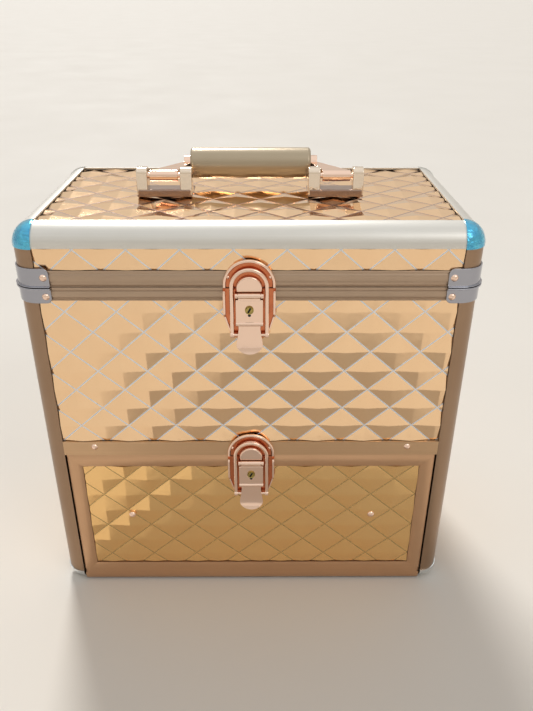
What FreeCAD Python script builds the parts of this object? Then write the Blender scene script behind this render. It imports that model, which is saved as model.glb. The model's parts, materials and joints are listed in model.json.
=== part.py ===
import FreeCAD, Part
import math
import os

os.makedirs("parts", exist_ok=True)

# A makeup case on a floor plane z = 0: millimetres, +Z up, front towards -Y, middle of the case on x = y = 0.
# The lid opens on rear hinges, a drawer slides out below, and draw latches hold both shut.

# ---------------------------------------------------------------- driving sizes
case_width = 340.0
case_depth = 192.0
case_height = 336.5
foot_gap = 2.0
lid_height = 45.0
seam = 0.6

# edge extrusions, boards and embossed skins
edge_radius = 16.0
base_radius = 9.0
rail_wall = 1.4
board = 5.0
skin_wall = 1.3
emboss_height = 2.0
apex_recess = 0.3
skin_gap = 0.4
diamond_width = 38.2
diamond_height = 33.7
body_valley_shift = 22.4
body_valley_drop = 20.6
lid_valley_shift = 11.0
lid_valley_rise = 27.5
drawer_valley_shift = 7.1
drawer_valley_drop = 26.0
lining = 1.0

# rails along the split between lid and body
lid_rim_height = 12.0
body_rim_height = 10.5
groove_width = 1.1
groove_depth = 0.5
lid_grooves = (2.6, 7.6)
body_grooves = (1.7, 7.2)
tongue_height = 3.0
tongue_wall = 1.6
tongue_play = 0.6
tongue_stop = 30.0

# divider rail, drawer and its runners
divider_bottom = 141.9
divider_height = 13.1
drawer_gap = 0.5
drawer_side_gap = 1.2
frame_top = 12.0
frame_side = 11.6
frame_bottom = 18.4
frame_crown = 1.2
drawer_wall = 4.0
drawer_wall_height = 108.0
drawer_rear_space = 6.0
drawer_panel_thickness = 3.0
runner_wall = 1.4
runner_height = 14.0
runner_ledge_z = 17.2
runner_play = 0.3

# ball corners, split corner plates and feet
cap_wall = 0.8
cap_skirt = 0.6
plate_wall = 1.2
plate_flange = 10.3
plate_lid_height = 14.2
plate_body_height = 12.2
plate_lip = 1.4
plate_lip_height = 1.6
plate_corner_radius = 4.0
rivet_radius = 2.7
rivet_height = 1.5
plate_rivet_inset = 4.2
foot_radius = 9.0
foot_taper = 1.5
foot_inset_x = 30.0
foot_inset_y = 30.0

# rear hinges
hinge_x = 95.0
hinge_width = 50.0
hinge_leaf_height = 22.0
hinge_leaf = 1.2
knuckle_radius = 3.0
knuckle_count = 5
knuckle_gap = 0.4
hinge_stand_off = 0.3
hinge_pin_radius = 1.5
pin_play = 0.05

# folding handle
bracket_x = 67.4
bracket_width = 43.5
bracket_front = -20.3
bracket_rear = 8.0
bracket_base = 2.6
lug_outer = 8.6
lug_inner = 9.4
lug_depth = 13.3
lug_height = 22.2
sill_height = 6.0
sill_wall = 2.0
pivot_y = -14.0
pivot_height = 15.7
handle_pin_radius = 2.2
barrel_radius = 4.3
barrel_play = 1.7
grip_length = 98.0
grip_radius = 12.3
grip_end_radius = 3.0
grip_back = 31.0
grip_rise = 3.0
arm_thickness = 4.8
knuckle_collar_radius = 6.2
knuckle_collar_width = 5.4
arm_stub_radius = 4.0
arm_stub_length = 12.0

# draw latches
latch_width = 38.6
latch_plate = 1.4
latch_plate_straight = 22.0
latch_plate_height = 40.0
latch_foot_width = 25.0
keeper_height = 21.6
keeper_bead = 1.5
keeper_bead_height = 0.8
keeper_screw_x = 15.2
keeper_screw_z = 8.2
keeper_screw_radius = 1.3
hoop_width = 28.8
hoop_bar = 3.0
hoop_thickness = 2.4
hoop_top = 16.2
hoop_bottom = 36.5
hoop_stub_radius = 1.2
latch_axis_out = 4.2
lever_axis_drop = 5.2
lever_pin_radius = 1.1
lever_barrel_radius = 2.1
lever_width = 20.2
lever_neck = 16.2
lever_thickness = 2.2
lever_fold = 26.8
tab_length = 24.4
tab_width = 19.8
tab_waist = 16.6
tab_round = 7.0
tab_flare = 3.0
ear_wall = 2.0
nose_width = 19.4
nose_height = 9.6
nose_thickness = 2.6
latch_clearance = 0.3
lock_radius = 3.2
lock_drop = 15.8
lock_proud = 0.8
cheek_wall = 1.7
cheek_height = 3.4
cheek_length = 22.0

# screws that hold the drawer panel
drawer_screw_x = 104.0
drawer_screw_z = 77.4
drawer_screw_radius = 3.0
drawer_screw_head = 1.6

# ---------------------------------------------------------------- planes worked out from them
half_width = case_width / 2
half_depth = case_depth / 2
base_z = foot_gap
top_z = case_height
split_z = top_z - lid_height
body_top = split_z - seam / 2
lid_bottom = split_z + seam / 2
panel_inset = apex_recess + emboss_height + skin_wall
inner_inset = panel_inset + board
arc_x = half_width - edge_radius
arc_y = half_depth - edge_radius
arc_low = base_z + base_radius
arc_high = top_z - edge_radius
wall_x = half_width - inner_inset
wall_y = half_depth - inner_inset
floor_z = base_z + inner_inset
ceiling_z = top_z - inner_inset
divider_top = divider_bottom + divider_height
shelf_z = divider_bottom + rail_wall
drawer_top = divider_bottom - drawer_gap
drawer_bottom = base_z + latch_clearance
drawer_half = arc_x - drawer_side_gap
hinge_y = half_depth + knuckle_radius + hinge_stand_off
web_top = lid_bottom + tongue_height + tongue_play + rail_wall

V = FreeCAD.Vector
CYCLE = FreeCAD.Rotation(V(1, 1, 1), 120)


# ---------------------------------------------------------------- helpers
def block(x0, x1, y0, y1, z0, z1):
    """A box between two corners, in any order."""
    low = V(min(x0, x1), min(y0, y1), min(z0, z1))
    return Part.makeBox(abs(x1 - x0), abs(y1 - y0), abs(z1 - z0), low)


def rod(radius, start, end):
    """A round bar between two points."""
    start = V(*start)
    run = V(*end) - start
    return Part.makeCylinder(radius, run.Length, start, run)


def prism(points, push):
    """A flat outline of 3-D points pushed along a vector."""
    ring = [V(*p) for p in points]
    return Part.Face(Part.makePolygon(ring + ring[:1])).extrude(V(*push))


def fused(shapes):
    """One solid from overlapping or touching pieces."""
    whole = shapes[0].fuse(shapes[1:]) if len(shapes) > 1 else shapes[0]
    return whole.removeSplitter()


def moved(shape, x=0.0, y=0.0, z=0.0):
    """A copy of the shape, shifted."""
    copy = shape.copy()
    copy.translate(V(x, y, z))
    return copy


def turned(shape, degrees, axis=V(0, 0, 1), about=V(0, 0, 0)):
    """A copy of the shape, turned about a line."""
    copy = shape.copy()
    copy.rotate(about, axis, degrees)
    return copy


def flipped(shape):
    """The mirror image across the plane x = 0."""
    return shape.mirror(V(0, 0, 0), V(1, 0, 0))


def save(name, solids):
    """Write one node: a single solid, or a group of separate ones."""
    group = solids if isinstance(solids, list) else [solids]
    flat = [s for shape in group for s in shape.Solids]
    shape = flat[0] if len(flat) == 1 else Part.makeCompound(flat)
    shape.exportStep("parts/" + name + ".step")
    print(name, len(flat), round(shape.Volume / 1000, 2), "cm3", "ok" if shape.isValid() else "INVALID")


# ---------------------------------------------------------------- edge extrusions
def edge_bar(axis, signs, centre, length, radius=edge_radius):
    """A quarter-round extrusion: a curved wall round a solid inner corner that the boards butt against.

    axis is its long direction; signs are the outward signs on the next two axes in X, Y, Z order;
    centre is the start of the line that the curve turns about.
    """
    inner = radius - inner_inset
    quarter = Part.makeCylinder(radius, length).common(block(-radius, 0, -radius, 0, 0, length))
    hollow = Part.makeCylinder(radius - rail_wall, length)
    core = hollow.common(block(-radius, -inner, -radius, -inner, 0, length))
    bar = fused([quarter.cut(hollow), core])
    quarter_turns = {(-1, -1): 0, (1, -1): 90, (1, 1): 180, (-1, 1): 270}
    bar.rotate(V(0, 0, 0), V(0, 0, 1), quarter_turns[signs])
    for _ in range({"Z": 0, "X": 1, "Y": 2}[axis]):
        bar.Placement = FreeCAD.Placement(V(0, 0, 0), CYCLE).multiply(bar.Placement)
    bar.translate(V(*centre))
    return bar


corners = [(-1, -1), (1, -1), (1, 1), (-1, 1)]
posts = [edge_bar("Z", (sx, sy), (sx * arc_x, sy * arc_y, arc_low), body_top - arc_low) for sx, sy in corners]
lid_posts = [edge_bar("Z", (sx, sy), (sx * arc_x, sy * arc_y, lid_bottom), arc_high - lid_bottom)
             for sx, sy in corners]
lid_edges = [edge_bar("X", (sy, 1), (-arc_x, sy * arc_y, arc_high), 2 * arc_x) for sy in (-1, 1)]
lid_edges += [edge_bar("Y", (1, sx), (sx * arc_x, -arc_y, arc_high), 2 * arc_y) for sx in (-1, 1)]
base_edges = [edge_bar("Y", (-1, sx), (sx * (half_width - base_radius), -arc_y, arc_low), 2 * arc_y, base_radius)
              for sx in (-1, 1)]
base_edges.append(edge_bar("X", (1, -1), (-arc_x, half_depth - base_radius, arc_low), 2 * arc_x, base_radius))


# ---------------------------------------------------------------- ball corners
def ball_corner(sx, sy):
    """A pressed ball corner over the ends of the edge extrusions that meet at a corner of the lid's top."""
    centre = (sx * arc_x, sy * arc_y, arc_high)
    signs = (sx, sy, 1)

    def ball(radius):
        reach = radius + 1.0
        spans = [(c, c + s * reach) for c, s in zip(centre, signs)]
        lump = [Part.makeSphere(radius, V(*centre)).common(block(*spans[0], *spans[1], *spans[2]))]
        for k in range(3):
            end = list(centre)
            end[k] -= signs[k] * cap_skirt
            sleeve_spans = list(spans)
            sleeve_spans[k] = (centre[k], end[k])
            sleeve = rod(radius, centre, end)
            lump.append(sleeve.common(block(*sleeve_spans[0], *sleeve_spans[1], *sleeve_spans[2])))
        return fused(lump)

    return ball(edge_radius + cap_wall).cut(ball(edge_radius))


def base_corner(sx, sy):
    """A pressed cup over the lower end of a corner post."""
    quadrant = block(sx * arc_x, sx * (half_width + 1.0), sy * arc_y, sy * (half_depth + 1.0), 0, arc_low + cap_skirt)

    def cup(wall):
        bottom = base_z - wall
        post = Part.makeCylinder(edge_radius + wall, arc_low + 1.0 - bottom, V(sx * arc_x, sy * arc_y, bottom))
        rim = [e for e in post.Edges if abs(e.CenterOfMass.z - bottom) < 1e-6]
        return post.makeFillet(base_radius + wall, rim).common(quadrant)

    return cup(cap_wall).cut(cup(0.0))


lid_caps_front = [ball_corner(sx, -1) for sx in (-1, 1)]
lid_caps_rear = [ball_corner(sx, 1) for sx in (-1, 1)]
base_caps = [base_corner(sx, sy) for sx, sy in corners]


# ---------------------------------------------------------------- rails along the split
def grooved_lip(half_length, low, high, grooves):
    """The outer lip of a rim rail on the front face, with its long grooves."""
    lip = block(-half_length, half_length, -half_depth, -half_depth + rail_wall, low, high)
    for z in grooves:
        cut = block(-half_length, half_length, -half_depth, -half_depth + groove_depth,
                    z - groove_width / 2, z + groove_width / 2)
        lip = lip.cut(cut)
    return lip


def body_rim(half_length, tongue_start, tongue_end):
    """Rim rail of the body, as it lies on the front: lip, web over the board's edge, inner lip, tongue."""
    low = body_top - body_rim_height
    lip = grooved_lip(half_length, low, body_top, [split_z - g for g in body_grooves])
    web = block(-half_length, half_length, -half_depth, -wall_y + lining, body_top - rail_wall, body_top)
    inner = block(-half_length, half_length, -wall_y, -wall_y + lining, low, body_top)
    pieces = [lip, web, inner]
    if tongue_end > tongue_start:
        outer = -half_depth + rail_wall + tongue_play
        pieces.append(block(tongue_start, tongue_end, outer, outer + tongue_wall,
                            body_top - rail_wall, body_top + tongue_height))
    return fused(pieces)


def lid_rim(half_length):
    """Rim rail of the lid, as it lies on the front: its web is raised to clear the tongue."""
    high = lid_bottom + lid_rim_height
    lip = grooved_lip(half_length, lid_bottom, high, [split_z + g for g in lid_grooves])
    web = block(-half_length, half_length, -half_depth, -wall_y + lining, web_top - rail_wall, web_top)
    inner = block(-half_length, half_length, -wall_y, -wall_y + lining, web_top - rail_wall, high)
    return fused([lip, web, inner])


side_shift = half_width - half_depth
rear_stop = arc_y - tongue_stop
front_rim = body_rim(arc_x, -arc_x, arc_x)
left_rim = moved(turned(body_rim(arc_y, -rear_stop, arc_y), -90), x=-side_shift)
body_rims = [front_rim, left_rim, flipped(left_rim), turned(body_rim(arc_x, 0, 0), 180)]
left_lid_rim = moved(turned(lid_rim(arc_y), -90), x=-side_shift)
lid_rims = [lid_rim(arc_x), left_lid_rim, flipped(left_lid_rim), turned(lid_rim(arc_x), 180)]

divider_lip = block(-arc_x, arc_x, -half_depth, -half_depth + rail_wall, divider_bottom, divider_top)
divider_web = block(-arc_x, arc_x, -half_depth, -wall_y + lining, divider_bottom, shelf_z)
divider_rail = fused([divider_lip, divider_web])

# ---------------------------------------------------------------- boards and linings
board_y = half_depth - panel_inset
board_x = half_width - panel_inset
board_top = body_top - rail_wall
base_front = -wall_y + latch_clearance
base_board = block(-wall_x, wall_x, base_front, wall_y, base_z + panel_inset, floor_z)
back_board = block(-wall_x, wall_x, wall_y, board_y, floor_z, board_top)
side_boards = [block(s * wall_x, s * board_x, -wall_y, wall_y, floor_z, board_top) for s in (-1, 1)]
front_board = block(-wall_x, wall_x, -board_y, -wall_y, shelf_z, board_top)
shelf_board = block(-wall_x, wall_x, -wall_y, wall_y, shelf_z, shelf_z + board)
lid_top_board = block(-wall_x, wall_x, -wall_y, wall_y, ceiling_z, ceiling_z + board)
lid_wall_boards = [block(-wall_x, wall_x, s * wall_y, s * board_y, web_top, ceiling_z) for s in (-1, 1)]
lid_wall_boards += [block(s * wall_x, s * board_x, -wall_y, wall_y, web_top, ceiling_z) for s in (-1, 1)]


def lined_box(low, high, floor_low):
    """Padded lining of four walls and the flat sheet that closes them, as separate sheets."""
    sheet = block(-wall_x, wall_x, -wall_y, wall_y, floor_low, floor_low + lining)
    walls = [block(-wall_x, wall_x, s * wall_y, s * (wall_y - lining), low, high) for s in (-1, 1)]
    walls += [block(s * wall_x, s * (wall_x - lining), -wall_y + lining, wall_y - lining, low, high)
              for s in (-1, 1)]
    return [sheet] + walls


compartment_floor = shelf_z + board
body_lining = lined_box(compartment_floor + lining, body_top - body_rim_height, compartment_floor)
lid_lining = lined_box(lid_bottom + lid_rim_height, ceiling_z - lining, ceiling_z - lining)


# ---------------------------------------------------------------- embossed skins
def embossed_sheet(width, height, phase_x, phase_y):
    """A sheet of four-sided pyramids in offset rows, its back on z = 0 and its middle on the origin.

    phase_x, phase_y is a point where the valleys between the diamonds cross.
    """
    half_a = diamond_width / 2
    half_b = diamond_height / 2
    columns = math.ceil(width / diamond_width) + 2
    rows = math.ceil(height / half_b) + 3
    first_x = math.floor((-width / 2 - phase_x) / diamond_width) - 1
    first_y = 2 * (math.floor((-height / 2 - phase_y) / diamond_height) - 1)
    faces = []
    rim = {}
    for j in range(first_y, first_y + rows + 2):
        for i in range(first_x, first_x + columns + 1):
            cx = phase_x + (i + (0.5 if j % 2 == 0 else 0.0)) * diamond_width
            cy = phase_y + j * half_b
            ring = [(cx + half_a, cy), (cx, cy + half_b), (cx - half_a, cy), (cx, cy - half_b)]
            apex = V(cx, cy, skin_wall + emboss_height)
            faces.append(Part.Face(Part.makePolygon([V(x, y, 0) for x, y in ring + ring[:1]])))
            for start, end in zip(ring, ring[1:] + ring[:1]):
                low_edge = [V(*start, skin_wall), V(*end, skin_wall)]
                faces.append(Part.Face(Part.makePolygon(low_edge + [apex, low_edge[0]])))
                key = frozenset((round(x, 3), round(y, 3)) for x, y in (start, end))
                rim[key] = None if key in rim else (start, end)
    for start, end in [pair for pair in rim.values() if pair]:
        wall = [V(*start, 0), V(*end, 0), V(*end, skin_wall), V(*start, skin_wall), V(*start, 0)]
        faces.append(Part.Face(Part.makePolygon(wall)))
    shell = Part.makeShell(faces)
    sheet = Part.makeSolid(shell)
    outline = block(-width / 2, width / 2, -height / 2, height / 2, -1.0, panel_inset + emboss_height)
    return sheet.common(outline).removeSplitter()


def face_skin(half_span, low, high, phase_x, phase_z):
    """An embossed skin on the front face, between two heights, set back a gap from its frame."""
    middle = (low + high) / 2
    sheet = embossed_sheet(2 * (half_span - skin_gap), high - low - 2 * skin_gap, phase_x, phase_z - middle)
    sheet.rotate(V(0, 0, 0), V(1, 0, 0), 90)
    sheet.translate(V(0, -half_depth + panel_inset, middle))
    return sheet


rim_low = body_top - body_rim_height
lid_rim_high = lid_bottom + lid_rim_height
valley_z = split_z - body_valley_drop
lid_valley_z = split_z + lid_valley_rise
drawer_valley_z = drawer_top - drawer_valley_drop
skin_front = face_skin(arc_x, divider_top, rim_low, -body_valley_shift, valley_z)
skin_back = turned(face_skin(arc_x, arc_low, rim_low, -body_valley_shift, valley_z), 180)
skin_left = moved(turned(face_skin(arc_y, arc_low, rim_low, -body_valley_shift, valley_z), -90),
                  x=-side_shift)
lid_skin_front = face_skin(arc_x, lid_rim_high, arc_high, -lid_valley_shift, lid_valley_z)
lid_skin_back = turned(face_skin(arc_x, lid_rim_high, arc_high, -lid_valley_shift, lid_valley_z), 180)
lid_skin_left = moved(turned(face_skin(arc_y, lid_rim_high, arc_high, -lid_valley_shift, lid_valley_z), -90),
                      x=-side_shift)
lid_skin_top = embossed_sheet(2 * (arc_x - skin_gap), 2 * (arc_y - skin_gap), -lid_valley_shift, 0.0)
lid_skin_top.translate(V(0, 0, top_z - panel_inset))

# ---------------------------------------------------------------- split corner plates, rivets and feet
def corner_plate(low, high, lip_low, lip_high):
    """A pressed plate round the front left corner, with a lip that stands out along the split."""
    centre = (-arc_x, -arc_y)
    height = high - low

    def wrap(wall, z0, z1):
        outer = Part.makeCylinder(edge_radius + wall, z1 - z0, V(*centre, z0))
        ring = outer.cut(Part.makeCylinder(edge_radius, z1 - z0, V(*centre, z0)))
        ring = ring.common(block(-half_width - wall, -arc_x, -half_depth - wall, -arc_y, z0, z1))
        front = block(-arc_x, -arc_x + plate_flange, -half_depth, -half_depth - wall, z0, z1)
        side = block(-half_width, -half_width - wall, -arc_y, -arc_y + plate_flange, z0, z1)
        return fused([ring, front, side])

    plate = wrap(plate_wall, low, high)
    far_z = high if lip_low < (low + high) / 2 else low
    ends = [e for e in plate.Edges if abs(e.Length - plate_wall) < 1e-6
            and abs(e.CenterOfMass.z - far_z) < 1e-6]
    plate = plate.makeFillet(min(plate_corner_radius, height / 3, plate_flange / 2), ends)
    return fused([plate, wrap(plate_wall + plate_lip, lip_low, lip_high)])


def rivet(radius, height):
    """A domed rivet head on z = 0."""
    ball_radius = (radius ** 2 + height ** 2) / (2 * height)
    ball = Part.makeSphere(ball_radius, V(0, 0, height - ball_radius))
    reach = 2 * ball_radius
    return ball.common(block(-reach, reach, -reach, reach, 0, reach))


def front_rivet(x, y, z, radius=rivet_radius, height=rivet_height):
    """A rivet head that faces forwards from the plane y."""
    head = rivet(radius, height)
    head.rotate(V(0, 0, 0), V(1, 0, 0), 90)
    return moved(head, x, y, z)


def side_rivet(x, y, z):
    """A rivet head that faces left from the plane x."""
    head = turned(rivet(rivet_radius, rivet_height), -90, V(0, 1, 0))
    return moved(head, x, y, z)


def on_four_corners(solids):
    """Repeat front-left solids on all four corners."""
    left = solids + [s.mirror(V(0, 0, 0), V(0, 1, 0)) for s in solids]
    return left + [flipped(s) for s in left]


lid_plate = corner_plate(lid_bottom, lid_bottom + plate_lid_height, lid_bottom, lid_bottom + 0.8)
body_plate = corner_plate(body_top - plate_body_height, body_top, body_top - plate_lip_height, body_top)
plate_rivet_x = -arc_x + plate_flange - plate_rivet_inset
plate_rivet_y = -arc_y + plate_flange - plate_rivet_inset
plate_face_y = -half_depth - plate_wall
plate_face_x = -half_width - plate_wall


def plate_rivets(z):
    """The two rivets of one corner plate."""
    return [front_rivet(plate_rivet_x, plate_face_y, z), side_rivet(plate_face_x, plate_rivet_y, z)]


lid_rivet_z = lid_bottom + plate_lid_height / 2
body_rivet_z = body_top - plate_lip_height - (plate_body_height - plate_lip_height) / 2
divider_rivet_x = 128.5
divider_rivets = [front_rivet(s * divider_rivet_x, -half_depth, (divider_bottom + divider_top) / 2 + 1.5)
                  for s in (-1, 1)]
body_rivets = on_four_corners(plate_rivets(body_rivet_z)) + divider_rivets
lid_rivets = on_four_corners(plate_rivets(lid_rivet_z))

foot = Part.makeCone(foot_radius - foot_taper, foot_radius, base_z + panel_inset)
feet = [moved(foot, sx * (half_width - foot_inset_x), sy * (half_depth - foot_inset_y)) for sx, sy in corners]


# ---------------------------------------------------------------- rear hinges
def hinge_leaf_with(numbers, up, x):
    """One leaf of a butt hinge with its own knuckles; up is 1 for the lid's leaf, -1 for the body's."""
    pitch = hinge_width / knuckle_count
    near = split_z + up * (knuckle_radius + knuckle_gap)
    far = split_z + up * hinge_leaf_height
    pieces = [block(x - hinge_width / 2, x + hinge_width / 2, half_depth, half_depth + hinge_leaf, near, far)]
    for n in numbers:
        x0 = x - hinge_width / 2 + n * pitch + knuckle_gap / 2
        x1 = x0 + pitch - knuckle_gap
        pieces.append(rod(knuckle_radius, (x0, hinge_y, split_z), (x1, hinge_y, split_z)))
        pieces.append(block(x0, x1, half_depth + hinge_stand_off, half_depth + hinge_leaf, split_z, near))
    bore = rod(hinge_pin_radius + pin_play, (x - hinge_width, hinge_y, split_z),
               (x + hinge_width, hinge_y, split_z))
    return fused(pieces).cut(bore)


body_knuckles = range(0, knuckle_count, 2)
lid_knuckles = range(1, knuckle_count, 2)
hinge_body_leaves = [hinge_leaf_with(body_knuckles, -1, s * hinge_x) for s in (-1, 1)]
hinge_lid_leaves = [hinge_leaf_with(lid_knuckles, 1, s * hinge_x) for s in (-1, 1)]
hinge_pins = [rod(hinge_pin_radius, (s * hinge_x - hinge_width / 2, hinge_y, split_z),
                  (s * hinge_x + hinge_width / 2, hinge_y, split_z)) for s in (-1, 1)]

# ---------------------------------------------------------------- handle
pivot_z = top_z + pivot_height
grip_y = pivot_y + grip_back
grip_z = pivot_z + grip_rise
bracket_out = bracket_x + bracket_width / 2
bracket_in = bracket_x - bracket_width / 2


def lug(x0, x1):
    """One ear of a handle bracket, round over the pin."""
    rear = bracket_front + lug_depth
    half = lug_depth / 2
    middle = bracket_front + half
    crown = top_z + lug_height - half
    stem = block(x0, x1, bracket_front, rear, top_z, crown)
    return fused([stem, rod(half, (x0, middle, crown), (x1, middle, crown))])


def right_bracket():
    """A clevis of foot plate, two ears and a front sill, bored for the handle pin."""
    foot_plate = block(bracket_in, bracket_out, bracket_front, bracket_rear, top_z, top_z + bracket_base)
    sill = block(bracket_in, bracket_out, bracket_front, bracket_front + sill_wall, top_z, top_z + sill_height)
    ears = [lug(bracket_in, bracket_in + lug_inner), lug(bracket_out - lug_outer, bracket_out)]
    bore = rod(handle_pin_radius + pin_play, (0, pivot_y, pivot_z), (2 * bracket_out, pivot_y, pivot_z))
    return fused([foot_plate, sill] + ears).cut(bore)


barrel_in = bracket_in + lug_inner + barrel_play
barrel_out = bracket_out - lug_outer - barrel_play


def right_arm():
    """An arm that runs back and inwards from its barrel on the pin to the collar at the grip's end."""
    collar_in = grip_length / 2
    collar_out = collar_in + knuckle_collar_width
    clear_ear = 1.3 * lug_depth / 2
    tilt = math.degrees(math.atan2(grip_rise, grip_back))
    outline = [(barrel_in, 0.0), (barrel_out, 0.0), (barrel_out, 6.0), (collar_out, grip_back - 4.0),
               (collar_out, grip_back), (collar_in, grip_back), (collar_in, grip_back - 7.0),
               (barrel_in, clear_ear)]
    points = [(x, pivot_y + y, pivot_z - arm_thickness / 2) for x, y in outline]
    plate = turned(prism(points, (0, 0, arm_thickness)), tilt, V(1, 0, 0), V(0, pivot_y, pivot_z))
    barrel = rod(barrel_radius, (barrel_in, pivot_y, pivot_z), (barrel_out, pivot_y, pivot_z))
    collar = rod(knuckle_collar_radius, (collar_in, grip_y, grip_z), (collar_out, grip_y, grip_z))
    stub = rod(arm_stub_radius, (collar_in - arm_stub_length, grip_y, grip_z), (collar_in, grip_y, grip_z))
    bore = rod(handle_pin_radius + pin_play, (0, pivot_y, pivot_z), (2 * bracket_out, pivot_y, pivot_z))
    return fused([plate, barrel, collar, stub]).cut(bore)


handle_bracket_right = right_bracket()
handle_arm_right = right_arm()
handle_pins = [rod(handle_pin_radius, (s * bracket_in, pivot_y, pivot_z), (s * bracket_out, pivot_y, pivot_z))
               for s in (-1, 1)]
grip = rod(grip_radius, (-grip_length / 2, grip_y, grip_z), (grip_length / 2, grip_y, grip_z))
grip = grip.makeFillet(grip_end_radius, grip.Edges)
for side in (-1, 1):
    hole_end = side * (grip_length / 2 - arm_stub_length - pin_play)
    grip = grip.cut(rod(arm_stub_radius + pin_play, (side * grip_length, grip_y, grip_z),
                        (hole_end, grip_y, grip_z)))


# ---------------------------------------------------------------- draw latches
# Drawn with the joint line of the two halves on z = 0 and the front face on y = 0; out is -Y.
def arch(half, out0, out1, low, top):
    """A plate with a half-round top, from a low edge to the height top."""
    spring_line = top - half
    disc = rod(half, (0, -out0, spring_line), (0, -out1, spring_line))
    dome = disc.common(block(-half, half, -out0, -out1, spring_line, top))
    return fused([dome, block(-half, half, -out0, -out1, low, spring_line)])


def latch_keeper(joint_gap):
    """Round-topped plate on the fixed side, with a bead round its edge and two screws."""
    half = latch_width / 2
    plate = arch(half, 0, latch_plate, joint_gap, keeper_height)
    top_out = latch_plate + keeper_bead_height
    bead = arch(half, latch_plate, top_out, joint_gap, keeper_height)
    inside = arch(half - keeper_bead, latch_plate, top_out, joint_gap - 1.0, keeper_height - keeper_bead)
    trough = block(-half, half, -latch_plate, -top_out, joint_gap - 1.0, joint_gap + 1.0)
    screws = [front_rivet(s * keeper_screw_x, -latch_plate, keeper_screw_z, keeper_screw_radius, 0.9)
              for s in (-1, 1)]
    return fused([plate, bead.cut(inside).cut(trough)]), screws


def latch_base(joint_gap):
    """Plate on the moving side: tapered foot, side cheeks, two ears for the lever, round nose on top."""
    half = latch_width / 2
    foot = latch_foot_width / 2
    outline = [(-half, -joint_gap), (half, -joint_gap), (half, -latch_plate_straight),
               (foot, -latch_plate_height), (-foot, -latch_plate_height), (-half, -latch_plate_straight)]
    plate = prism([(x, 0, z) for x, z in outline], (0, -latch_plate, 0))
    cheeks = [block(s * half, s * (half - cheek_wall), 0, -latch_plate - cheek_height,
                    -joint_gap - 2.0, -cheek_length) for s in (-1, 1)]
    ear_in = lever_neck / 2 + latch_clearance
    reach = lever_barrel_radius
    ears = []
    for s in (-1, 1):
        x0 = s * ear_in
        x1 = s * (ear_in + ear_wall)
        ears.append(block(x0, x1, 0, -latch_axis_out, -lever_axis_drop - reach, -lever_axis_drop + reach))
        ears.append(rod(reach, (x0, -latch_axis_out, -lever_axis_drop), (x1, -latch_axis_out, -lever_axis_drop)))
    nose_low = -lever_axis_drop + lever_barrel_radius + latch_clearance
    nose_out = latch_plate + latch_clearance
    nose = arch(nose_width / 2, nose_out, nose_out + nose_thickness, nose_low, nose_height)
    bridge = block(-nose_width / 2, nose_width / 2, 0, -nose_out, nose_low, -joint_gap)
    bore = rod(lever_pin_radius + pin_play, (-half, -latch_axis_out, -lever_axis_drop),
               (half, -latch_axis_out, -lever_axis_drop))
    return fused([plate, nose, bridge] + cheeks + ears).cut(bore)


def tab_outline(tab_end):
    """Outline of the thumb tab, pushed forwards: a waist under the fold that widens to a round end."""
    waist = tab_waist / 2
    wide = tab_width / 2
    shoulder_z = tab_end + tab_round
    waist_left = V(-waist, 0, -lever_fold)
    waist_right = V(waist, 0, -lever_fold)
    wide_left = V(-wide, 0, shoulder_z)
    wide_right = V(wide, 0, shoulder_z)
    round_end = Part.Arc(wide_left, V(0, 0, tab_end), wide_right).toShape()
    wire = Part.Wire([round_end, Part.makeLine(wide_right, waist_right), Part.makeLine(waist_right, waist_left),
                      Part.makeLine(waist_left, wide_left)])
    return Part.Face(wire).extrude(V(0, -3 * latch_axis_out, 0))


def latch_lever():
    """Lever with a rolled barrel, square face with the lock's bore, bosses for the hoop and a thumb tab."""
    axis = -lever_axis_drop
    inner = latch_axis_out - lever_thickness / 2
    outer = latch_axis_out + lever_thickness / 2
    half = lever_width / 2
    neck = lever_neck / 2
    barrel = rod(lever_barrel_radius, (-neck, -latch_axis_out, axis), (neck, -latch_axis_out, axis))
    ear_reach = axis - lever_barrel_radius - latch_clearance - 0.7
    neck_plate = block(-neck, neck, -inner, -outer, axis, ear_reach)
    face = block(-half, half, -inner, -outer, ear_reach, -lever_fold)
    tab_end = -lever_fold - tab_length
    tab_side = [(-inner, -lever_fold), (-outer, -lever_fold), (-outer - tab_flare, tab_end),
                (-inner - tab_flare, tab_end)]
    tab = prism([(-half, y, z) for y, z in tab_side], (2 * half, 0, 0)).common(tab_outline(tab_end))
    boss_z = -hoop_bottom
    shoulder = block(-tab_waist / 2, tab_waist / 2, -inner, -outer, -lever_fold, boss_z - 2.0)
    boss = rod(hoop_stub_radius + 1.1, (-half, -latch_axis_out, boss_z), (half, -latch_axis_out, boss_z))
    pivot = rod(lever_pin_radius + pin_play, (-half, -latch_axis_out, axis), (half, -latch_axis_out, axis))
    stubs = rod(hoop_stub_radius + pin_play, (-half, -latch_axis_out, boss_z), (half, -latch_axis_out, boss_z))
    keyway = rod(lock_radius + pin_play, (0, 0, -lock_drop), (0, -2 * outer, -lock_drop))
    return fused([barrel, neck_plate, face, tab, shoulder, boss]).cut(pivot).cut(stubs).cut(keyway)


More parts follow.
